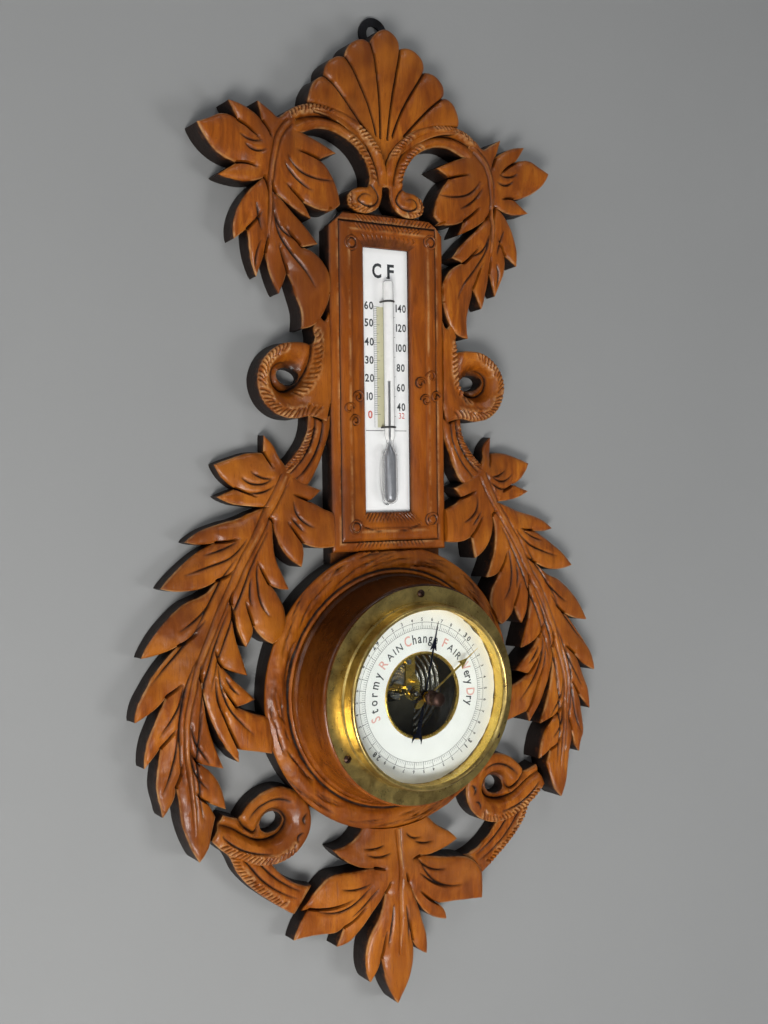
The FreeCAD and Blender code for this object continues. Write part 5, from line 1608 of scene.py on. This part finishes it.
def make_pane():
    """Milk-glass plate with ground edges, recessed under the tube's bulb."""
    x = PANE_HIGH.x / UNIT
    z0, z1 = (PANE_LOW.z - MID) / UNIT, (PANE_HIGH.z - MID) / UNIT
    outer = outline([(-x, z0, T), (x, z0, T), (x, z1, T), (-x, z1, T)], 6.0)
    trough = outline([(-3.7, 16), (-2.7, 12.2), (0, 11.0), (2.7, 12.2), (3.7, 16), (3.7, 45),
                      (2.7, 49.1), (0, 50.3), (-2.7, 49.1), (-3.7, 45)], 1.2)
    verts, faces = [], []
    for loops, step, h in (([outer, trough], 7.0, PANE_H), ([trough], 3.0, PANE_H - TROUGH),
                           ([outer], 9.0, PANE_H - PANE_THICK)):
        points, tri = triangulate(loops, [], step)
        n = len(verts)
        verts += [world(q[0], q[1], h) for q in points]
        faces += [tuple(int(i) + n for i in f) for f in tri]
    for loop, foot in ((outer, PANE_H - PANE_THICK), (trough, PANE_H - TROUGH)):
        n = len(verts)
        c = len(loop)
        verts += [world(q[0], q[1], PANE_H) for q in loop]
        verts += [world(q[0], q[1], foot) for q in loop]
        faces += [(n + i, n + (i + 1) % c, n + c + (i + 1) % c, n + c + i) for i in range(c)]
    pane = form("pane", verts, faces)
    return stand_in(pane, "thermometer_plate")


# ---------------------------------------------------------------- printing
INK_UP = 0.03                            # printing above the surface it is laid on
SCALE_IN, SCALE_OUT = 39.7, 43.6         # radii of the two circles of the inch scale
WORDS_R = 31.4                           # radius of the feet of the weather words
GLYPHS = {}                              # letters made so far
CAPITAL = 0.73                           # height of a capital in the built-in font


def glyph(letter, weight):
    """Vertices, faces and width of a letter whose capitals are 1 high."""
    key = (letter, weight)
    if key not in GLYPHS:
        curve = bpy.data.curves.new("letter", "FONT")
        curve.body = letter
        curve.resolution_u = 3
        curve.offset = weight
        obj = bpy.data.objects.new("letter", curve)
        bpy.context.scene.collection.objects.link(obj)
        bpy.context.view_layer.update()
        mesh = bpy.data.meshes.new_from_object(obj)
        v = np.array([(a.co.x, a.co.y) for a in mesh.vertices]).reshape(-1, 2) / CAPITAL
        faces = [tuple(f.vertices) for f in mesh.polygons]
        left = v[:, 0].min() if len(v) else 0.0
        wide = v[:, 0].max() - left if len(v) else 0.35
        GLYPHS[key] = (v - (left, 0) if len(v) else v, faces, wide)
        bpy.data.objects.remove(obj)
    return GLYPHS[key]


class Print:
    """Ink laid on a surface: letters, lines and ticks of one colour."""

    def __init__(self, h):
        self.h = h
        self.verts, self.faces = [], []

    def shape(self, points, faces):
        """Adds a flat shape of (x, z) points."""
        n = len(self.verts)
        self.verts += [world(x, z, self.h) for x, z in points]
        self.faces += [tuple(i + n for i in f) for f in faces]

    def line(self, x0, z0, x1, z1, width):
        d = math.hypot(x1 - x0, z1 - z0)
        nx, nz = -(z1 - z0) / d * width / 2, (x1 - x0) / d * width / 2
        self.shape([(x0 - nx, z0 - nz), (x1 - nx, z1 - nz), (x1 + nx, z1 + nz), (x0 + nx, z0 + nz)],
                   [(0, 1, 2, 3)])

    def tick(self, angle, r0, r1, width):
        """Short line along a radius of the dial, between two radii."""
        a = math.radians(angle)
        self.line(r0 * math.sin(a), DIAL_Z + r0 * math.cos(a),
                  r1 * math.sin(a), DIAL_Z + r1 * math.cos(a), width)

    def ring(self, r, width, steps=360):
        """Circle round the dial."""
        points, faces = [], []
        for i in range(steps + 1):
            a = math.radians(360.0 * i / steps)
            for k in (r - width / 2, r + width / 2):
                points.append((k * math.sin(a), DIAL_Z + k * math.cos(a)))
        for i in range(steps):
            faces.append((2 * i, 2 * i + 2, 2 * i + 3, 2 * i + 1))
        self.shape(points, faces)

    def curved(self, text, r, size, start, end, weight):
        """Text round the dial between two angles, its feet at radius r."""
        parts = [glyph(c, weight) for c in text]
        widths = [g[2] * size for g in parts]
        room = math.radians(end - start) * (r + size / 2)
        gap = (room - sum(widths)) / max(1, len(text) - 1)
        at = 0.0
        for (verts, faces, _), wide in zip(parts, widths):
            a = math.radians(start) + (at + wide / 2) / (r + size / 2)
            at += wide + gap
            c, s = math.cos(a), math.sin(a)
            points = []
            for u, v in verts:
                across, out = u * size - wide / 2, r + v * size
                points.append((out * s + across * c, DIAL_Z + out * c - across * s))
            self.shape(points, faces)

    def flat(self, text, x, z, size, weight=0.0, narrow=1.0, gap=0.12):
        """Upright text centred on x with its feet on z."""
        parts = [glyph(c, weight) for c in text]
        total = sum(g[2] * narrow for g in parts) * size + gap * size * (len(text) - 1)
        at = x - total / 2
        for verts, faces, wide in parts:
            self.shape([(at + u * size * narrow, z + v * size) for u, v in verts], faces)
            at += wide * size * narrow + gap * size

    def make(self, name, slot):
        """All of this ink as one piece."""
        mesh = bpy.data.meshes.new(name)
        mesh.from_pydata(self.verts, [], self.faces)
        obj = bpy.data.objects.new(name, mesh)
        bpy.context.scene.collection.objects.link(obj)
        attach(obj, "frame")
        return obj


def print_dial():
    """Inch scale round the card and the five weather words inside it."""
    h = reach("dial_card")[2] + INK_UP
    ink, red = Print(h), Print(h)
    for r in (SCALE_IN, SCALE_OUT):
        ink.ring(r, 0.20)
    for k in range(200):
        angle = k * 1.8
        if k % 5 == 0:
            ink.tick(angle, SCALE_IN, 43.9, 0.28)
        else:
            ink.tick(angle, SCALE_IN, 41.7, 0.18)
    for k in range(-20, 20):
        tenth = (5 + k) % 10
        angle = k * 9
        if tenth:
            ink.curved(str(tenth), 44.5, 2.0, angle - 0.8, angle + 0.8, 0.02)
    for inches, angle in ((28, -135), (29, -45), (30, 45), (31, 135)):
        ink.curved(str(inches), 44.3, 3.1, angle - 3.4, angle + 3.4, 0.03)
    for word, start, end, caps in (("Stormy", -111, -62, 0), ("RAIN", -56, -25, 1),
                                   ("Change", -21, 19, 0), ("FAIR", 26, 53, 1),
                                   ("Very Dry", 61, 106, 0)):
        ink_word(ink, red, word, start, end, 4.4 if caps else 5.8, 0.01 if caps else 0.015,
                 1.0 if caps else 0.80)
    edge = reach("dial_card")[0]             # a worn dark line follows part of the card's edge
    for k in range(70, 330):
        a0, a1 = math.radians(k * 0.5), math.radians(k * 0.5 + 0.5)
        wide = 0.35 + 0.9 * noise.noise((k * 0.06, 0.0, 1.0))
        if wide > 0.05:
            points = [((edge - 0.1 - w) * math.sin(a), DIAL_Z + (edge - 0.1 - w) * math.cos(a))
                      for a, w in ((a0, 0), (a1, 0), (a1, wide), (a0, wide))]
            ink.shape(points, [(0, 1, 2, 3)])
    return ink.make("dial_print", "card"), red.make("dial_print_red", "card")


def ink_word(ink, red, word, start, end, size, weight, narrow):
    """A word whose initials are larger and red and whose other letters are dark."""
    initial = [i == 0 or word[i - 1] == " " for i in range(len(word))]
    sizes = [size * (1.3 if first and narrow == 1.0 else 1.08 if first else 1.0) for first in initial]
    widths = [glyph(c, weight)[2] * k * narrow for c, k in zip(word, sizes)]
    room = math.radians(end - start) * (WORDS_R + size / 2)
    gap = (room - sum(widths)) / max(1, len(word) - 1)
    at = 0.0
    for letter, wide, big, first in zip(word, widths, sizes, initial):
        angle = start + math.degrees((at + wide / 2) / (WORDS_R + size / 2))
        if letter != " ":
            place_letter(red if first else ink, letter, WORDS_R, big, angle, weight, narrow)
        at += wide + gap


def place_letter(target, letter, r, size, angle, weight, narrow):
    """One letter centred at an angle on the dial, its feet at radius r."""
    verts, faces, wide = glyph(letter, weight)
    a = math.radians(angle)
    c, s = math.cos(a), math.sin(a)
    points = []
    for u, v in verts:
        across, out = (u - wide / 2) * size * narrow, r + v * size
        points.append((out * s + across * c, DIAL_Z + out * c - across * s))
    target.shape(points, faces)


def print_thermometer():
    """Two scales, their figures and a yellowed strip behind the tube."""
    h = PANE_H + INK_UP
    ink, red, strip = Print(h + 0.02), Print(h + 0.02), Print(h)
    strip.shape([(-6.2, 59), (-0.6, 59), (-0.6, 133), (-6.2, 133)], [(0, 1, 2, 3)])
    ink.flat("C", -5.6, 151.0, 8.8, 0.03, 0.80)
    ink.flat("F", 4.3, 151.0, 8.8, 0.03, 0.95)
    ink.line(1.0, 151.2, 3.6, 151.2, 0.45)
    ink.line(-14.5, 57, 14.5, 57, 0.35)
    for k in range(61):
        z = 67 + k * 1.1
        long = 4.2 if k % 10 == 0 else 3.2 if k % 5 == 0 else 2.3
        ink.line(-8.2, z, -8.2 + long, z, 0.22)
    ink.line(-8.2, 59, -8.2, 134, 0.2)
    for k in range(55):
        z = 66 + k * 1.222
        ink.line(3.7, z, 3.7 + (3.4 if k % 10 == 0 else 2.0), z, 0.22)
    for text, z in (("60", 133.7), ("50", 123.2), ("40", 111.6), ("30", 100.4), ("20", 89.4),
                    ("10", 78.2)):
        ink.flat(text, -11.6, z - 2.4, 4.8, 0.022, 0.92)
    red.flat("0", -11.4, 64.6, 4.8, 0.022, 1.0)
    for text, z in (("140", 133), ("120", 121), ("100", 108.6), ("80", 96.3), ("60", 84), ("40", 72)):
        ink.flat(text, 11.4 if len(text) > 2 else 10.8, z - 2.4, 4.8, 0.022, 0.84)
    red.flat("32", 11.2, 64.6, 3.8, 0.0, 0.9)
    return (ink.make("thermometer_print", "milk_glass"),
            red.make("thermometer_print_red", "milk_glass"),
            strip.make("thermometer_strip", "milk_glass"))


# ---------------------------------------------------------------- finish on every node
SMALL_EDGE = 0.00012                     # metres


def finish_node(node, material):
    """Material, smooth shading and small bevels on a piece kept from the CAD."""
    obj = frame["nodes"][node]
    dress(obj, material)
    obj.data.polygons.foreach_set("use_smooth", [True] * len(obj.data.polygons))
    obj.data.set_sharp_from_angle(angle=math.radians(32))
    bevel = obj.modifiers.new("edge", "BEVEL")
    bevel.width = SMALL_EDGE
    bevel.segments = 2
    bevel.limit_method = "ANGLE"
    bevel.angle_limit = math.radians(40)
    bevel.harden_normals = True


# light, middle and dark wood, the colour of the painted shade, then roughness and the heights over
# which painted shade grows towards the top
WOODS = {
    "carved_wood": ((0.44, 0.138, 0.010), (0.265, 0.063, 0.003), (0.115, 0.026, 0.002),
                    (0.008, 0.0025, 0.001)),
    "moulding_wood": ((0.38, 0.106, 0.006), (0.25, 0.056, 0.002), (0.12, 0.027, 0.002),
                      (0.010, 0.003, 0.001)),
    # the drum is painted darker towards its top: painted shade
    "dark_wood": ((0.33, 0.094, 0.009), (0.200, 0.047, 0.004), (0.036, 0.008, 0.001),
                  (0.008, 0.003, 0.001), 0.13,
                  (world(0, DIAL_Z - 30, 0)[2], world(0, DIAL_Z + 45, 0)[2])),
}
# bright metal, tarnish, specks and roughness, then depth of the scratches and how metallic
METALS = {
    "iron": ((0.045, 0.045, 0.05), (0.02, 0.019, 0.019), (0.07, 0.03, 0.012), 0.42),
    "old_brass": ((0.74, 0.56, 0.19), (0.32, 0.22, 0.075), (0.06, 0.035, 0.015), 0.30),
    "bright_brass": ((0.92, 0.66, 0.16), (0.76, 0.50, 0.10), (0.32, 0.20, 0.08), 0.26, 0.2),
    "brown_brass": ((0.085, 0.050, 0.040), (0.045, 0.026, 0.020), (0.16, 0.10, 0.07), 0.42),
    "blued_steel": ((0.016, 0.020, 0.055), (0.010, 0.011, 0.022), (0.03, 0.015, 0.015), 0.30),
    "steel": ((0.60, 0.60, 0.60), (0.40, 0.39, 0.37), (0.15, 0.13, 0.11), 0.26),
    "dark_steel": ((0.14, 0.13, 0.10), (0.08, 0.078, 0.06), (0.03, 0.028, 0.02), 0.40),
    "nickel": ((0.78, 0.77, 0.74), (0.62, 0.60, 0.55), (0.25, 0.24, 0.22), 0.18),
    "dark_wire": ((0.10, 0.10, 0.10), (0.05, 0.05, 0.05), (0.12, 0.06, 0.03), 0.35),
    "mercury": ((0.29, 0.30, 0.32), (0.22, 0.23, 0.25), (0.20, 0.21, 0.22), 0.34, 0.02, 0.6),
}
# two tones and roughness, strength and scale of the surface's grain, then any clear coat
PLAINS = {
    "card": ((0.94, 0.935, 0.91), (0.89, 0.885, 0.86), 0.45, 0.2, 420.0),
    "milk_glass": ((0.93, 0.935, 0.93), (0.88, 0.89, 0.885), 0.18, 0.05, 300.0, 0.5),
    "ink": ((0.025, 0.028, 0.032), (0.05, 0.055, 0.06), 0.5, 0.2, 900.0),
    "red_ink": ((0.55, 0.06, 0.04), (0.60, 0.16, 0.12), 0.5, 0.2, 900.0),
    "red_dial": ((0.78, 0.36, 0.31), (0.80, 0.52, 0.47), 0.5, 0.2, 900.0),
    "strip": ((0.66, 0.64, 0.44), (0.58, 0.56, 0.38), 0.3, 0.2, 300.0),
}


def build_materials():
    """Every material of the object by name."""
    mats = {}
    for maker, looks in ((wood_material, WOODS), (metal_material, METALS), (plain_material, PLAINS)):
        for name, values in looks.items():
            mats[name] = maker(name, *values)
    mats["clear_glass"] = glass_material("clear_glass", (0.97, 0.985, 0.98))
    mats["tube_glass"] = tube_glass_material("tube_glass")
    return mats


def build():
    """Carved wood, instrument and thermometer, with a material on every piece."""
    mats = build_materials()
    work = Carving()
    carve_core(work)
    carve_leaves(work)
    carve_crown(work)
    carve_scrolls(work)
    carve_ring(work)
    carving = stand_in(work.make("carving"), "carved_frame")
    dress(carving, mats["carved_wood"])
    dress(frame_moulding(), mats["moulding_wood"])
    dress(make_drum(), mats["dark_wood"])
    dress(make_bezel(), mats["old_brass"])
    dress(make_reflector(), mats["bright_brass"])
    dress(make_glass(), mats["clear_glass"])
    for obj, name in zip(make_dial(), ("bright_brass", "card")):
        dress(obj, mats[name])
    dress(make_knob(), mats["brown_brass"])
    for obj, name in zip(make_thermometer(), ("tube_glass", "mercury", "dark_wire")):
        dress(obj, mats[name])
    dress(make_pane(), mats["milk_glass"])
    for obj, name in zip(print_dial(), ("ink", "red_dial")):
        dress(obj, mats[name])
    for obj, name in zip(print_thermometer(), ("ink", "red_ink", "strip")):
        dress(obj, mats[name])
    stood = set()
    for obj in bpy.data.objects:
        stood |= set(obj.get("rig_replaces", []))
    for part in frame["record"]["subparts"]:
        if part["node"] not in stood:
            slot = "brown_brass" if part["node"] == "flange_screws" else part["material_slot"]
            finish_node(part["node"], mats[slot])


# ---------------------------------------------------------------- studio
WALL_GAP = 0.0004                        # metres between the object's back and the wall


def backdrop_material(name, colour):
    """Matt painted wall, open when seen from behind and open to light for the object's back."""
    m = Nodes(name)
    cloud = m.noise(3.0, 3.0, 0.5)
    m.base(m.mix(m.ramp(cloud, [(0.3, 0.0), (0.7, 1.0)]), colour, tuple(c * 0.94 for c in colour)),
           0.75)
    m.bump(m.noise(400.0, 4.0, 0.6), 0.08, 0.0005)
    side = m.add("NewGeometry")
    path = m.add("LightPath")
    clear = m.add("BsdfTransparent")
    touching = m.maths("LESS_THAN", path.outputs["Ray Length"], 2 * WALL_GAP)
    bore = m.add("VectorMath", operation="DISTANCE")
    m.link(m.place, bore.inputs[0])
    bore.inputs[1].default_value = world(0, DIAL_Z, -WALL_GAP / UNIT)
    inside_bore = m.maths("LESS_THAN", bore.outputs["Value"], reach("movement_case")[0] * 0.86 * UNIT)
    unseen = m.maths("SUBTRACT", 1.0, path.outputs["Is Camera Ray"])
    open_to = m.maths("MULTIPLY", m.maths("MAXIMUM", touching, inside_bore), unseen)
    opened = m.maths("MAXIMUM", side.outputs["Backfacing"], open_to)
    m.link(m.blend(opened, m.shader.outputs[0], clear.outputs[0]), m.out.inputs["Surface"])
    return m.material


def flat_sheet(name, corners, material):
    """Four-sided sheet of the backdrop."""
    mesh = bpy.data.meshes.new(name)
    mesh.from_pydata(corners, [], [(0, 1, 2, 3)])
    obj = bpy.data.objects.new(name, mesh)
    bpy.context.scene.collection.objects.link(obj)
    dress(obj, material)


def area_light(name, place, aim, size, power, colour=(1, 1, 1), glossy=True):
    """Rectangular light at a place, turned towards its aim."""
    light = bpy.data.lights.new(name, "AREA")
    light.shape = "RECTANGLE"
    light.size, light.size_y = size
    light.energy = power
    light.color = colour
    obj = bpy.data.objects.new(name, light)
    bpy.context.scene.collection.objects.link(obj)
    obj.location = place
    obj.rotation_euler = (Vector(aim) - Vector(place)).to_track_quat("-Z", "Y").to_euler()
    obj.visible_glossy = glossy


def make_room():
    """Painted wall and floor, soft lights and a pale surrounding."""
    scene = bpy.context.scene
    wall = backdrop_material("wall_paint", (0.285, 0.29, 0.29))
    floor = backdrop_material("floor_paint", (0.50, 0.50, 0.50))
    y = WALL + WALL_GAP
    foot = LOW.z - 0.45
    flat_sheet("wall", [(-4, y, foot), (4, y, foot), (4, y, 3), (-4, y, 3)], wall)
    flat_sheet("floor", [(-4, -4, foot), (4, -4, foot), (4, y, foot), (-4, y, foot)], floor)
    area_light("key", (-0.62, -0.95, -0.95), (0, 0, MID - 0.05), (0.5, 0.5), 17, (1.0, 0.98, 0.95))
    area_light("side", (1.1, -1.1, -0.75), (0, 0, MID), (0.5, 0.5), 8, glossy=False)
    area_light("window", (-1.5, -0.6, 0.1), (0, 0, MID), (0.7, 1.2), 4.8, (0.95, 0.97, 1.0))
    area_light("top", (0.1, -1.3, 1.2), (0, 0, MID), (0.5, 0.5), 3.5)
    area_light("behind", (0.5, 1.4, 0.4), (0, 0, MID), (1.0, 1.0), 14)
    scene.view_settings.view_transform = "Standard"
    world_node = bpy.data.worlds.new("studio")
    scene.world = world_node
    world_node.use_nodes = True
    back = world_node.node_tree.nodes["Background"]
    back.inputs["Color"].default_value = (0.92, 0.95, 1.0, 1.0)
    back.inputs["Strength"].default_value = 0.20


def make_camera():
    """Camera at the photograph's angle, given by its right, down and forward directions."""
    right = Vector((0.85961655, -0.51079285, -0.01224951))
    down = Vector((-0.0236267, -0.01578984, -0.99959615))
    ahead = Vector((0.51039314, 0.85955881, -0.02564156))
    turn = Matrix((right, -down, -ahead)).transposed().to_4x4()
    camera = bpy.data.cameras.new("camera")
    camera.lens = 42.15
    camera.sensor_width = 36.0
    camera.clip_start = 0.01
    obj = bpy.data.objects.new("camera", camera)
    bpy.context.scene.collection.objects.link(obj)
    obj.matrix_world = Matrix.Translation((-0.381, -0.6495, -0.2772)) @ turn
    bpy.context.scene.camera = obj


build()
make_room()
make_camera()
